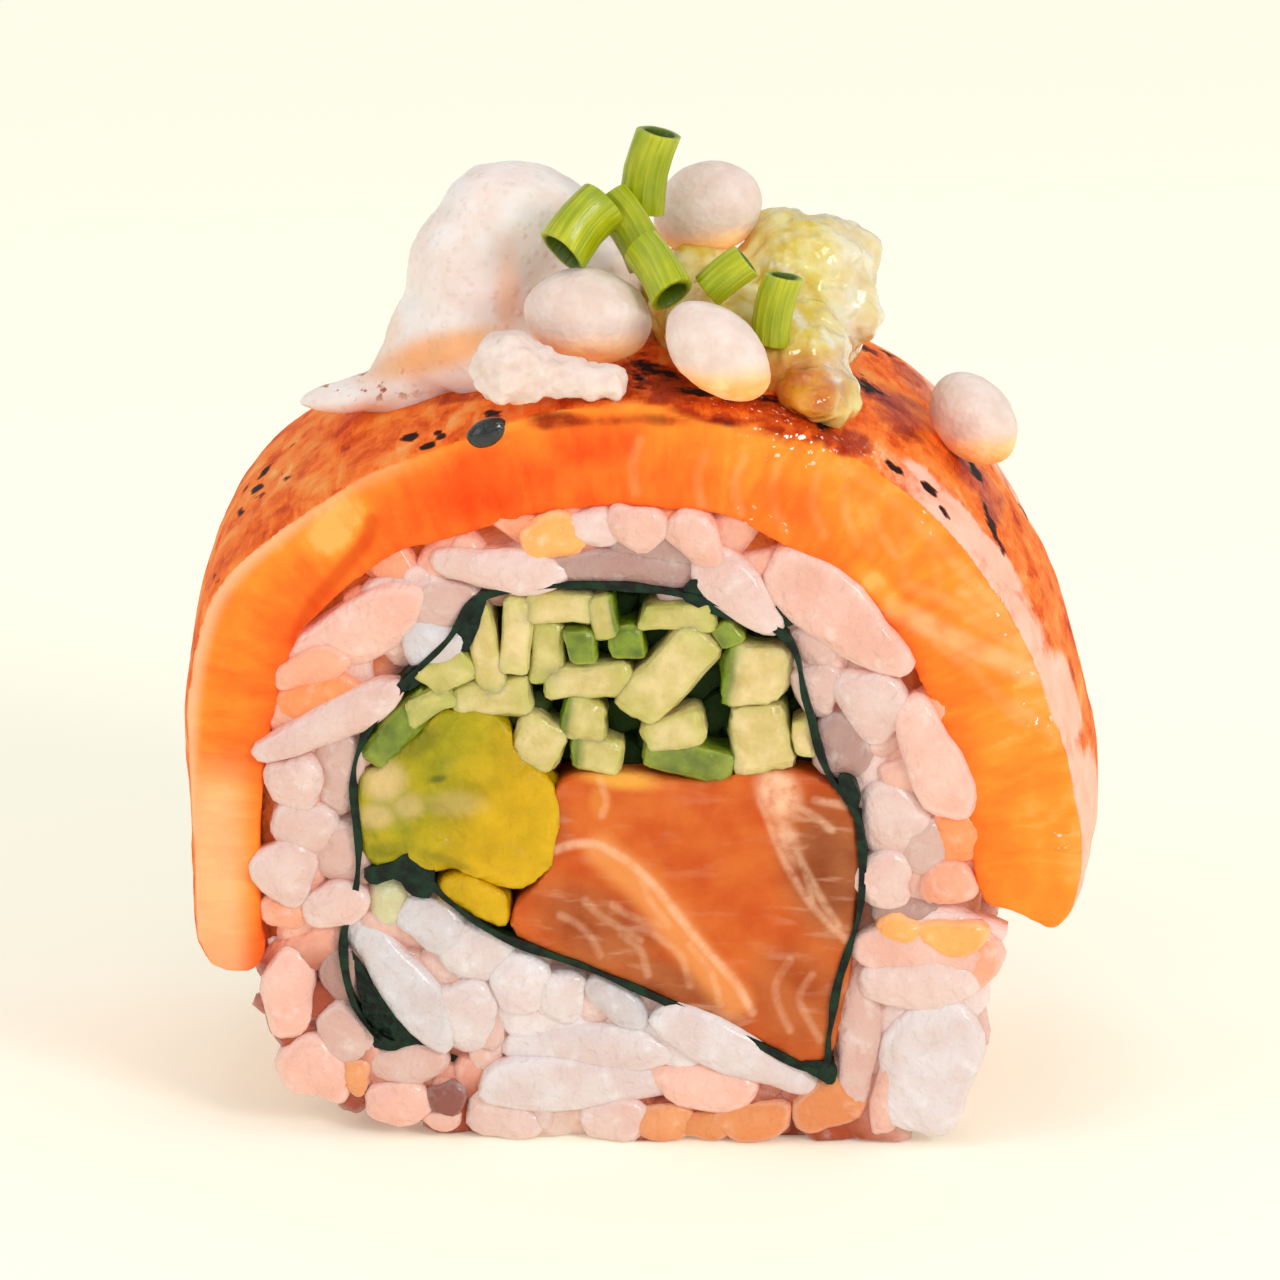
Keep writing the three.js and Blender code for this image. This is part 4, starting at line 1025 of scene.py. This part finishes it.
def slice_frame(points):
    """How far along the slice and how far out of its middle each point lies, and its thickness there."""
    line = even_points(SLICE, 300)
    normal = normals_of(line)
    run = np.concatenate([[0], np.cumsum(np.hypot(*np.diff(line[:, :2], axis=0).T))])
    grow = 1 + BELLY * np.clip(1 - (points[:, 1] / HALF_DEPTH) ** 2, 0, 1)
    flat = np.stack([
        BELLY_CENTRE[0] + (points[:, 0] - BELLY_CENTRE[0]) / grow,
        BELLY_CENTRE[1] + (points[:, 2] - BELLY_CENTRE[1]) / grow,
    ], axis=1)
    nearest = np.zeros(len(points), int)
    for start in range(0, len(points), 20000):
        part = flat[start:start + 20000]
        gap = (part[:, None, 0] - line[None, :, 0]) ** 2 + (part[:, None, 1] - line[None, :, 1]) ** 2
        nearest[start:start + 20000] = gap.argmin(axis=1)
    off = flat - line[nearest, :2]
    across = (off * normal[nearest]).sum(axis=1)
    return run[nearest], across, line[nearest, 2]


def make_slice():
    line = even_points(SLICE, 110)
    sides = band(line, line[:, 2])
    ends = [[on_front(*q) for q in tip] for tip in (RIGHT_TIP, LEFT_TIP)]
    outline = np.concatenate([sides[:110], ends[0], sides[117:227], ends[1]])
    piece = run_through("salmon_slice", outline, -HALF_DEPTH + 0.1, steps=20)
    piece = fuse("salmon_slice", [piece], 0.4, 5)
    roughen(piece, 7.0, 0.5)
    roughen(piece, 1.6, 0.12)

    def shows(centre, normal):
        return centre.y < 3 and (normal.y < -0.6 or normal.z > 0.35 or normal.x > 0.7)

    refine(piece, 1, shows)
    p = points_of(piece)
    spot = seen(p)
    along, across, thick = slice_frame(p)
    part = across / thick
    store(piece, "flesh", np.stack([along, across, p[:, 1]], axis=1))
    cut_face = rise(np.abs(directions(piece)[:, 1]), 0.45, 0.8)
    outward = rise(part, 0.28, 0.44)
    outer = outward * (1 - cut_face)
    store(piece, "outer", outer)

    # The cut face: deep orange inside and at the upper left, lighter outside and to the right
    right = rise(along, 46, 56)
    tone = (0.52 + 0.55 * part) * (1 - right) + (0.66 + 0.32 * part) * right
    tone += blots(spot, [(235, 860, 90, 190, 0, 0.35), (340, 528, 90, 50, 40, 0.45), (880, 590, 80, 30, -45, 0.4)])
    tone -= blots(spot, [(900, 680, 60, 150, 20, 0.2), (960, 840, 50, 140, 10, 0.15)])
    tone -= blots(spot, [(480, 480, 200, 90, 15, 0.4), (590, 440, 130, 60, 5, 0.45), (800, 505, 90, 50, -20, 0.15)])
    store(piece, "tone", np.clip(tone, 0, 1))
    fat = strokes(spot, [[(893, 609), (930, 626), (975, 648), (1020, 668), (1057, 681)]], 17, 0.6)
    fat = np.maximum(fat, strokes(spot, [
        [(850, 470), (902, 508), (951, 558), (1000, 612), (1026, 660)], [(905, 585), (950, 603), (1005, 640)],
        [(935, 640), (975, 672), (1020, 720)], [(1000, 700), (1030, 716), (1058, 740)], [(962, 590),
        (998, 622), (1030, 652)],
    ], 10, 0.26))
    fat = np.maximum(fat, strokes(spot, [
        [(858, 496), (866, 520), (870, 552)], [(896, 520), (904, 548), (906, 580)], [(930, 545), (938, 570),
        (938, 598)],
    ], 8, 0.12))
    fat = np.maximum(fat, strokes(spot, [
        [(706, 452), (698, 478), (702, 505)], [(744, 458), (734, 486), (742, 514)], [(778, 464), (772, 496),
        (784, 528)],
        [(818, 474), (812, 505), (824, 536)], [(846, 486), (846, 514), (858, 544)], [(872, 500), (880, 530),
        (896, 556)],
        [(640, 440), (632, 466), (636, 492)],
    ], 7, 0.2))
    store(piece, "fat", fat * cut_face)
    cream = rise(part, 0.28, 0.46) * (1 - rise(along, 22, 37)) * cut_face
    cream = np.maximum(cream, 0.7 * (1 - rise(along, 8, 13)) * rise(part, -0.45, 0.0) * cut_face)
    cream = np.maximum(cream, strokes(spot, [[(300, 512), (345, 482), (400, 458)]], 12, 0.6))
    store(piece, "cream", np.clip(0.75 * cream, 0, 1))
    # The fold at the lower left: a painted shadow line.
    store(piece, "crease_shade", strokes(spot, [
        [(296, 640), (312, 606), (340, 572), (366, 540), (372, 520)],
    ], 12, 0.6) * cut_face)

    # The seared side: brown glaze, char, and the pale skin along the upper right, brightened by a painted highlight
    front_half = 1 - rise(p[:, 1], 2.0, 4.0)
    fade = 1 - rise(p[:, 1], -5.0, 7.0)
    pink = blots(spot, [
        (925, 478, 70, 18, -42, 0.7), (960, 515, 90, 20, -48, 0.9), (998, 562, 90, 24, -55, 1.0),
        (1026, 622, 90, 20, -62, 0.9),
        (1052, 690, 100, 20, -75, 0.9), (1082, 800, 150, 16, -80, 0.8), (1068, 700, 110, 24, -78, 0.9),
        (1092, 820, 170, 24, -88, 1.0),
    ]) * outward * fade
    pink = np.maximum(pink, 0.62 * rise(np.abs(p[:, 1]), 4, 11) * outer * rise(along, 56, 64))
    store(piece, "pink", pink)
    glaze = blots(spot, [
        (655, 384, 120, 54, -8, 1.0), (722, 408, 140, 44, -5, 1.0), (800, 424, 120, 46, -10, 1.0),
        (846, 442, 70, 36, -16, 1.0),
        (470, 392, 170, 24, 8, 0.8), (900, 420, 90, 40, -40, 0.7), (965, 470, 70, 34, -48, 0.7),
        (300, 470, 120, 18, 48, 0.35),
        (600, 400, 80, 26, 0, 0.5), (880, 390, 80, 40, -20, 0.6), (450, 382, 150, 18, 12, 0.5),
        (990, 500, 26, 70, 20, 0.8),
        (945, 452, 60, 26, -40, 0.4), (560, 422, 90, 30, 0, 0.6), (650, 424, 150, 34, -3, 0.55),
        (760, 440, 120, 34, -8, 0.5),
        (500, 440, 70, 20, 20, 0.4), (440, 462, 120, 18, 24, 0.25),
    ]) * rise(part, 0.22, 0.36) * front_half
    glaze = np.maximum(glaze, outer * spots(p, [(-4, 6, 46, 6, 0.7), (6, 8, 46, 7, 0.8), (16, 8, 41, 5, 0.6)]))
    store(piece, "glaze", glaze)
    char = blots(spot, [
        (258, 489, 16, 18, 0, 1.0), (285, 476, 10, 8, 0, 0.9), (241, 513, 8, 14, 0, 0.7),
        (216, 578, 8, 12, 0, 0.6),
        (410, 437, 18, 10, 20, 0.95), (427, 446, 20, 7, 20, 0.9), (440, 435, 10, 12, 60, 0.8),
        (350, 402, 50, 10, 20, 1.0),
        (395, 388, 70, 12, 10, 1.0), (435, 379, 40, 16, 5, 1.0), (492, 413, 20, 9, 0, 0.8),
        (878, 383, 56, 28, -20, 1.0),
        (894, 467, 26, 7, -38, 0.9), (929, 489, 22, 8, -45, 0.9), (944, 512, 18, 5, -60, 0.7),
        (978, 474, 26, 12, -50, 1.0),
        (990, 520, 7, 50, 20, 0.7), (1002, 548, 5, 26, 20, 0.6), (823, 424, 20, 18, 0, 1.0),
        (660, 372, 60, 14, -20, 0.7), (696, 392, 50, 10, -10, 0.8),
        (640, 372, 24, 40, 10, 0.5), (760, 398, 90, 8, -8, 0.6), (572, 437, 14, 8, 40, 0.5),
    ]) * rise(part, 0.22, 0.36) * front_half
    char *= 1 - (spot[:, 0] < 300) * rise(np.sin(p[:, 1] * 2.3 + p[:, 2] * 1.7), -0.1, 0.5)
    char = np.maximum(char, outer * spots(p, [
        (-20, 7, 38, 1.5, 0.8), (-16, 10, 41, 1.2, 0.8), (12, 9, 43, 1.9, 0.8), (18, 6, 39, 1.5, 0.8),
        (22.5, 9, 33, 1.2, 0.7),
        (1, 11, 46, 1.6, 0.8), (14, 11, 42, 1.0, 0.7), (-10, 8, 44, 1.3, 0.8),
    ]))
    store(piece, "char", char)
    # Where the painted white highlights lie.
    store(piece, "glint", blots(spot, [
        (760, 520, 70, 24, -15, 1.0), (790, 440, 110, 50, -20, 1.0), (740, 405, 110, 20, -5, 0.9),
        (1035, 705, 30, 90, 20, 0.9),
        (1000, 615, 24, 60, 25, 0.8), (930, 520, 70, 24, -45, 0.6), (860, 450, 60, 20, -30, 0.6),
        (1060, 850, 20, 60, 0, 0.6),
        (880, 360, 40, 14, -20, 0.8), (950, 430, 14, 50, 30, 0.8),
    ]))

    seed = egg(*SESAME, segments=24, rings=16)
    roughen(seed, 1.2, 0.1)
    finish(seed, "seared_salmon", sesame_material(), "salmon_slice")
    seed.name = "sesame_seed"
    finish(piece, "seared_salmon", slice_material(), "salmon_slice")


# The filling

def make_strip():
    piece = run_through("salmon_strip", even_points(SALMON_STRIP, 90, closed=True), -HALF_DEPTH, HALF_DEPTH, 10)
    piece = fuse("salmon_strip", [piece], 0.35, 4)
    roughen(piece, 3.5, 0.35, middle=0.3)
    refine(piece, 2, lambda centre, normal: normal.y < -0.5)
    p = points_of(piece)
    spot = seen(p)
    fat = strokes(spot, [
        [(556, 850), (576, 844), (600, 846), (628, 862), (654, 886), (680, 918), (706, 950), (735, 982),
        (752, 1012)],
    ], 7, 0.6)
    fat = np.maximum(fat, strokes(spot, [
        [(760, 800), (772, 830), (788, 868), (812, 905), (846, 940)], [(800, 860), (822, 900), (838, 925)],
        [(786, 806), (808, 812), (832, 830)], [(815, 800), (845, 806)], [(790, 840), (806, 872), (812, 905)],
    ], 6, 0.45))
    fat = np.maximum(fat, strokes(spot, [
        [(640, 872), (650, 900), (668, 925)], [(612, 905), (640, 920), (668, 925)], [(585, 900), (600, 915),
        (640, 940)],
        [(560, 915), (585, 930), (600, 955)], [(622, 935), (640, 950), (648, 975)], [(655, 935), (680, 955),
        (690, 985)],
        [(690, 945), (712, 975), (720, 1005)], [(600, 780), (606, 800), (602, 815)], [(790, 1030),
        (775, 990), (790, 960)],
        [(820, 1040), (800, 1000), (812, 975)],
    ], 6, 0.28))
    broad = blots(spot, [(778, 792, 46, 66, 20, 0.9), (786, 835, 26, 70, 20, 0.55)])
    store(piece, "fat", np.maximum(fat, broad))
    store(piece, "glow", 0.8 * strokes(spot, [[(600, 850), (640, 885), (672, 925), (700, 960), (735, 1000)]], 26))
    brown = blots(spot, [
        (830, 870, 110, 180, 12, 0.9), (800, 1000, 130, 140, 0, 0.5), (600, 930, 170, 90, -30, 0.7),
        (680, 990, 190, 60, -28, 0.75),
        (560, 830, 30, 60, 0, 0.3),
    ])
    store(piece, "brown", brown)
    store(piece, "yellow", blots(spot, [(620, 778, 90, 26, -8, 0.85), (600, 800, 24, 40, 0, 0.3)]))
    finish(piece, "raw_salmon", strip_material(), "salmon_strip")


def make_avocado():
    material = avocado_material()
    for name, outline in (("avocado_piece", AVOCADO), ("avocado_end", AVOCADO_END)):
        piece = run_through(name, even_points(outline, 60, closed=True), -HALF_DEPTH - 0.1, HALF_DEPTH, 8)
        lumps = [piece]
        if name == "avocado_piece":
            lumps += [egg(x, -12.2, z, size, 1.5, size * 0.85) for x, z, size in AVOCADO_LUMPS]
        piece = fuse(name, lumps, 0.35, 4)
        roughen(piece, 2.0, 0.6, middle=0.35)
        refine(piece, 1, lambda centre, normal: normal.y < -0.5)
        p = points_of(piece)
        spot = seen(p)
        yellow = rise(p[:, 0] - p[:, 2] * 0.5, -24.0, -18.0)
        store(piece, "yellow", yellow if name == "avocado_piece" else np.ones(len(p)))
        store(piece, "pale", blots(spot, [
            (384, 782, 50, 50, 0, 0.9), (376, 816, 44, 30, 0, 0.7), (408, 806, 40, 30, 0, 0.6),
            (455, 804, 70, 30, 0, 0.35),
        ]))
        store(piece, "bruise", blots(spot, [
            (438, 779, 22, 10, 10, 0.8), (420, 742, 60, 30, 30, 0.5), (385, 850, 60, 18, 5, 0.4),
            (450, 862, 60, 12, -20, 0.4),
        ]))
        finish(piece, "avocado", material, name)


def make_cucumber():
    rng = random.Random(7)
    sticks = []
    bundle = even_points([
        (-15.6, 25.0), (-10.0, 32.8), (-2.0, 34.2), (4.0, 33.4), (8.0, 31.0), (9.6, 27.0), (10.0, 23.6),
        (2.0, 23.4),
        (-6.0, 23.6), (-11.0, 25.4),
    ], 50, closed=True)

    def stick(x, z, width, height, turn, green, skin, front):
        deselect()
        bpy.ops.mesh.primitive_cube_add(size=1.0)
        piece = bpy.context.object
        piece.data.transform(Matrix.Diagonal((width, HALF_DEPTH - front, height, 1)))
        bpy.ops.object.mode_set(mode="EDIT")
        bpy.ops.mesh.select_all(action="SELECT")
        bpy.ops.mesh.bevel(offset=min(width, height) * 0.24, segments=2, affect="EDGES")
        bpy.ops.mesh.select_all(action="SELECT")
        bpy.ops.mesh.subdivide(number_cuts=3)
        bpy.ops.object.mode_set(mode="OBJECT")
        p = points_of(piece)
        side = {
            "": np.zeros(len(p)), "all": np.ones(len(p)),
            "right": rise(p[:, 0] / width, 0.2, 0.4), "left": rise(-p[:, 0] / width, 0.2, 0.4),
        }[skin]
        store(piece, "skin", side * (0.8 if skin == "all" else 1.0))
        store(piece, "green", np.full(len(p), green))
        edge = np.maximum(np.abs(p[:, 0]) / width, np.abs(p[:, 2]) / height) * 2
        at_front = 1 - rise(p[:, 1], p[:, 1].min() + 0.1, p[:, 1].min() + 0.5)
        store(piece, "rim", 0.45 * rise(edge, 0.6, 0.9) * at_front * (front < -HALF_DEPTH + 0.3))
        slant, pinch = rng.uniform(-0.2, 0.2), rng.uniform(-0.12, 0.12)
        p[:, 0] *= 1 + pinch * p[:, 2] / height * 2
        p[:, 2] *= 1 + rng.uniform(-0.15, 0.15) * p[:, 0] / width * 2
        p[:, 0] += slant * p[:, 2]
        move_points(piece, p)
        place = Matrix.Translation((x, (HALF_DEPTH + front) / 2, z)) @ Matrix.Rotation(math.radians(-turn), 4, "Y")
        piece.data.transform(place)
        roughen(piece, 2.2, 0.7)
        roughen(piece, 0.9, 0.25)
        sticks.append(piece)

    for x, z, width, height, turn, green, skin in CUCUMBER:
        front = -HALF_DEPTH - rng.uniform(-0.1, 0.4)
        stick(x, z, width * STICK_LARGER, height * STICK_LARGER, turn, green, skin, front)
    z = 24.0
    while z < 34.0:
        x = -15.0
        while x < 10.0:
            if inside(bundle, x, z):
                stick(
                    x + rng.uniform(-0.5, 0.5), z + rng.uniform(-0.4, 0.4), rng.uniform(1.8, 3.0),
                    rng.uniform(1.8, 2.8), rng.uniform(-60, 60), rng.uniform(0.3, 0.9),
                    rng.choice(["", "", "left", "right"]), -HALF_DEPTH + rng.uniform(1.2, 2.4))
            x += 2.7
        z += 2.3
    heart = run_through("heart", bundle, -HALF_DEPTH + 3.0, HALF_DEPTH - 0.8, 3)
    size = len(heart.data.vertices)
    store(heart, "skin", np.zeros(size))
    store(heart, "green", np.ones(size))
    store(heart, "rim", np.zeros(size))
    piece = fuse("cucumber_sticks", sticks + [heart])
    p = points_of(piece)
    ahead = -HALF_DEPTH - p[:, 1]
    # Behind the cut face the sticks turn green and then nearly black: painted shade between them.
    store(piece, "side", 0.75 * rise(-ahead, 0.1, 0.9) * (1 - rise(p[:, 1], 11.0, 12.6)))
    store(piece, "depth", 0.97 * rise(-ahead, 0.5, 1.5) * (1 - rise(p[:, 1], 11.0, 12.6)))
    finish(piece, "cucumber", cucumber_material(), "cucumber_sticks", angle=60)


# The toppings

def make_sauce():
    piece = fuse("white_sauce", [egg(*row) for row in WHITE_SAUCE], 0.35, 30)
    roughen(piece, 4.0, 0.8, middle=0.2)
    roughen(piece, 1.2, 0.14)
    p = points_of(piece)
    spot = seen(p)
    warm = blots(spot, [(440, 352, 180, 44, 16, 0.85), (508, 300, 30, 130, 0, 0.4), (385, 335, 30, 60, -30, 0.3)])
    store(piece, "warm", warm * (1 - rise(p[:, 1], 3, 5)))
    store(piece, "fleck", blots(spot, [(360, 385, 150, 40, 0, 1.0), (330, 385, 80, 30, 0, 1.0)]))
    finish(piece, "white_sauce", sauce_material(), "white_sauce")


def make_relish():
    piece = fuse("relish", [egg(*row) for row in RELISH], 0.3, 6)
    roughen(piece, 2.4, 1.2)
    roughen(piece, 1.0, 0.15)
    p = points_of(piece)
    spot = seen(p)
    store(piece, "pale", rise(p[:, 0], 10.0, 12.0) * rise(p[:, 2], 45.0, 47.5))
    # Where the painted white highlights run.
    store(piece, "glint", strokes(spot, [
        [(794, 312), (806, 330), (822, 352), (838, 380)], [(764, 262), (782, 268), (800, 280)], [(778, 238),
        (796, 232)],
        [(820, 330), (832, 344)],
    ], 6, 0.8) * rise(-p[:, 1], 0, 2))
    store(piece, "amber", blots(spot, [
        (805, 390, 100, 90, 0, 1.0), (762, 372, 80, 44, -10, 0.7), (850, 360, 40, 40, 0, 0.4),
        (700, 300, 40, 90, 0, 0.3),
    ]))
    finish(piece, "relish", relish_material(), "relish")


def make_puffs():
    material = puff_material()
    for name, row in PUFFED_RICE.items():
        piece = fuse(name, [egg(*row, segments=36, rings=22)])
        roughen(piece, 2.2, 0.35)
        p = points_of(piece)
        store(piece, "sauced", 1 - rise(p[:, 2], row[2] - row[5] * 0.95, row[2] + row[5] * 0.25))
        finish(piece, "puffed_rice", material, name)
    deselect()
    profile = even_points(CRISP_PROFILE, 34)
    bpy.ops.mesh.primitive_circle_add(vertices=len(profile), radius=1.0, fill_type="NOTHING")
    piece = bpy.context.object
    for vertex, (run, radius) in zip(piece.data.vertices, profile):
        vertex.co = (run - CRISP_HEAD_AT, 0, max(radius, 0.0))
    bpy.ops.object.mode_set(mode="EDIT")
    bpy.ops.mesh.select_all(action="SELECT")
    bpy.ops.mesh.spin(steps=24, angle=math.tau, center=(0, 0, 0), axis=(1, 0, 0))
    bpy.ops.mesh.remove_doubles(threshold=0.001)
    bpy.ops.mesh.normals_make_consistent(inside=False)
    bpy.ops.object.mode_set(mode="OBJECT")
    piece.data.transform(Matrix.Translation(CRISP_HEAD) @ Matrix.Rotation(math.radians(-CRISP_TILT), 4, "Y"))
    piece = fuse("tailed_crisp", [piece], 0.2, 2)
    roughen(piece, 1.1, 0.9)
    p = points_of(piece)
    store(piece, "sauced", 0.7 * (1 - rise(p[:, 2], 45.4, 46.6)))
    finish(piece, "puffed_rice", material, "tailed_crisp")


def make_chives():
    material = chive_material()
    for name, (x, y, z, length, radius, turn, lean) in CHIVES.items():
        deselect()
        bpy.ops.mesh.primitive_cylinder_add(vertices=28, radius=radius, depth=length, end_fill_type="NOTHING")
        piece = bpy.context.object
        piece.name = name
        bpy.ops.object.mode_set(mode="EDIT")
        bpy.ops.mesh.select_all(action="SELECT")
        bpy.ops.mesh.subdivide(number_cuts=3)
        bpy.ops.object.mode_set(mode="OBJECT")
        apply(piece, "SOLIDIFY", thickness=CHIVE_WALL, offset=-1.0)
        apply(piece, "BEVEL", width=0.1, segments=2, limit_method="ANGLE", angle_limit=math.radians(60))
        p = points_of(piece)
        around = np.arctan2(p[:, 1], p[:, 0])
        store(piece, "round", np.stack([around * 3, p[:, 2] * 0.1, np.zeros(len(p))], axis=1))
        out = np.hypot(p[:, 0], p[:, 1])
        # The inner wall, darkened in the material as painted shade.
        store(piece, "inner", 1 - rise(out, radius - CHIVE_WALL * 0.9, radius - CHIVE_WALL * 0.4))
        p[:, 1] *= 0.8 + 0.1 * np.sin(p[:, 2] * 0.9 + length)
        p[:, 0] += 0.05 * (p[:, 2] ** 2 - length * length / 12)
        move_points(piece, p)
        place = Matrix.Translation((x, y, z)) @ Matrix.Rotation(math.radians(turn), 4, "Z")
        piece.data.transform(place @ Matrix.Rotation(math.radians(lean), 4, "Y"))
        roughen(piece, 2.0, 0.18)
        finish(piece, "chive", material, name, angle=50)


# The setting

def set_stage():
    """The pale floor, the soft studio light, and the camera."""
    world = bpy.data.worlds.new("studio")
    world.use_nodes = True
    bpy.context.scene.world = world
    world.node_tree.nodes["Background"].inputs[0].default_value = (1.0, 1.0, 0.98, 1)
    world.node_tree.nodes["Background"].inputs[1].default_value = 0.68
    deselect()
    bpy.ops.mesh.primitive_plane_add(size=8.0, location=(0, 0, -0.0001))
    floor = bpy.context.object
    floor.name = "floor"
    material, tree, surface = new_material("pale_paper")
    connect(tree, surface, {
        "Base Color": "#FFFEEE", "Roughness": 0.9, "Specular IOR Level": 0.0, "Emission Color": "#FFFEEA",
        "Emission Strength": 0.16,
    })
    floor.data.materials.append(material)
    for name, place, power, size in (
        ("key", (0.50, -0.52, 0.38), 2.0, 0.22), ("top", (0.0, -0.1, 0.75), 0.4, 0.3),
        ("fill", (-0.55, -0.35, 0.35), 0.6, 0.4),
    ):
        lamp = bpy.data.lights.new(name, "AREA")
        lamp.energy = power
        lamp.size = size
        made = bpy.data.objects.new(name, lamp)
        made.location = place
        made.rotation_mode = "QUATERNION"
        made.rotation_quaternion = (Vector(place) - Vector((0, 0, 0.03))).to_track_quat("Z", "Y")
        bpy.context.scene.collection.objects.link(made)
    bpy.context.scene.view_settings.view_transform = "Standard"

    eye, focal, *_, back = camera_axes()
    lens = bpy.data.cameras.new("camera")
    lens.sensor_width = 36.0
    lens.lens = 36.0 * focal / PICTURE
    lens.clip_start = 0.01
    lens.clip_end = 20.0
    camera = bpy.data.objects.new("camera", lens)
    camera.location = eye * MM
    camera.rotation_mode = "QUATERNION"
    camera.rotation_quaternion = (-back).to_track_quat("-Z", "Y")
    bpy.context.scene.collection.objects.link(camera)
    bpy.context.scene.camera = camera


set_stage()
make_rice()
make_nori()
make_slice()
make_strip()
make_avocado()
make_cucumber()
make_sauce()
make_relish()
make_puffs()
make_chives()
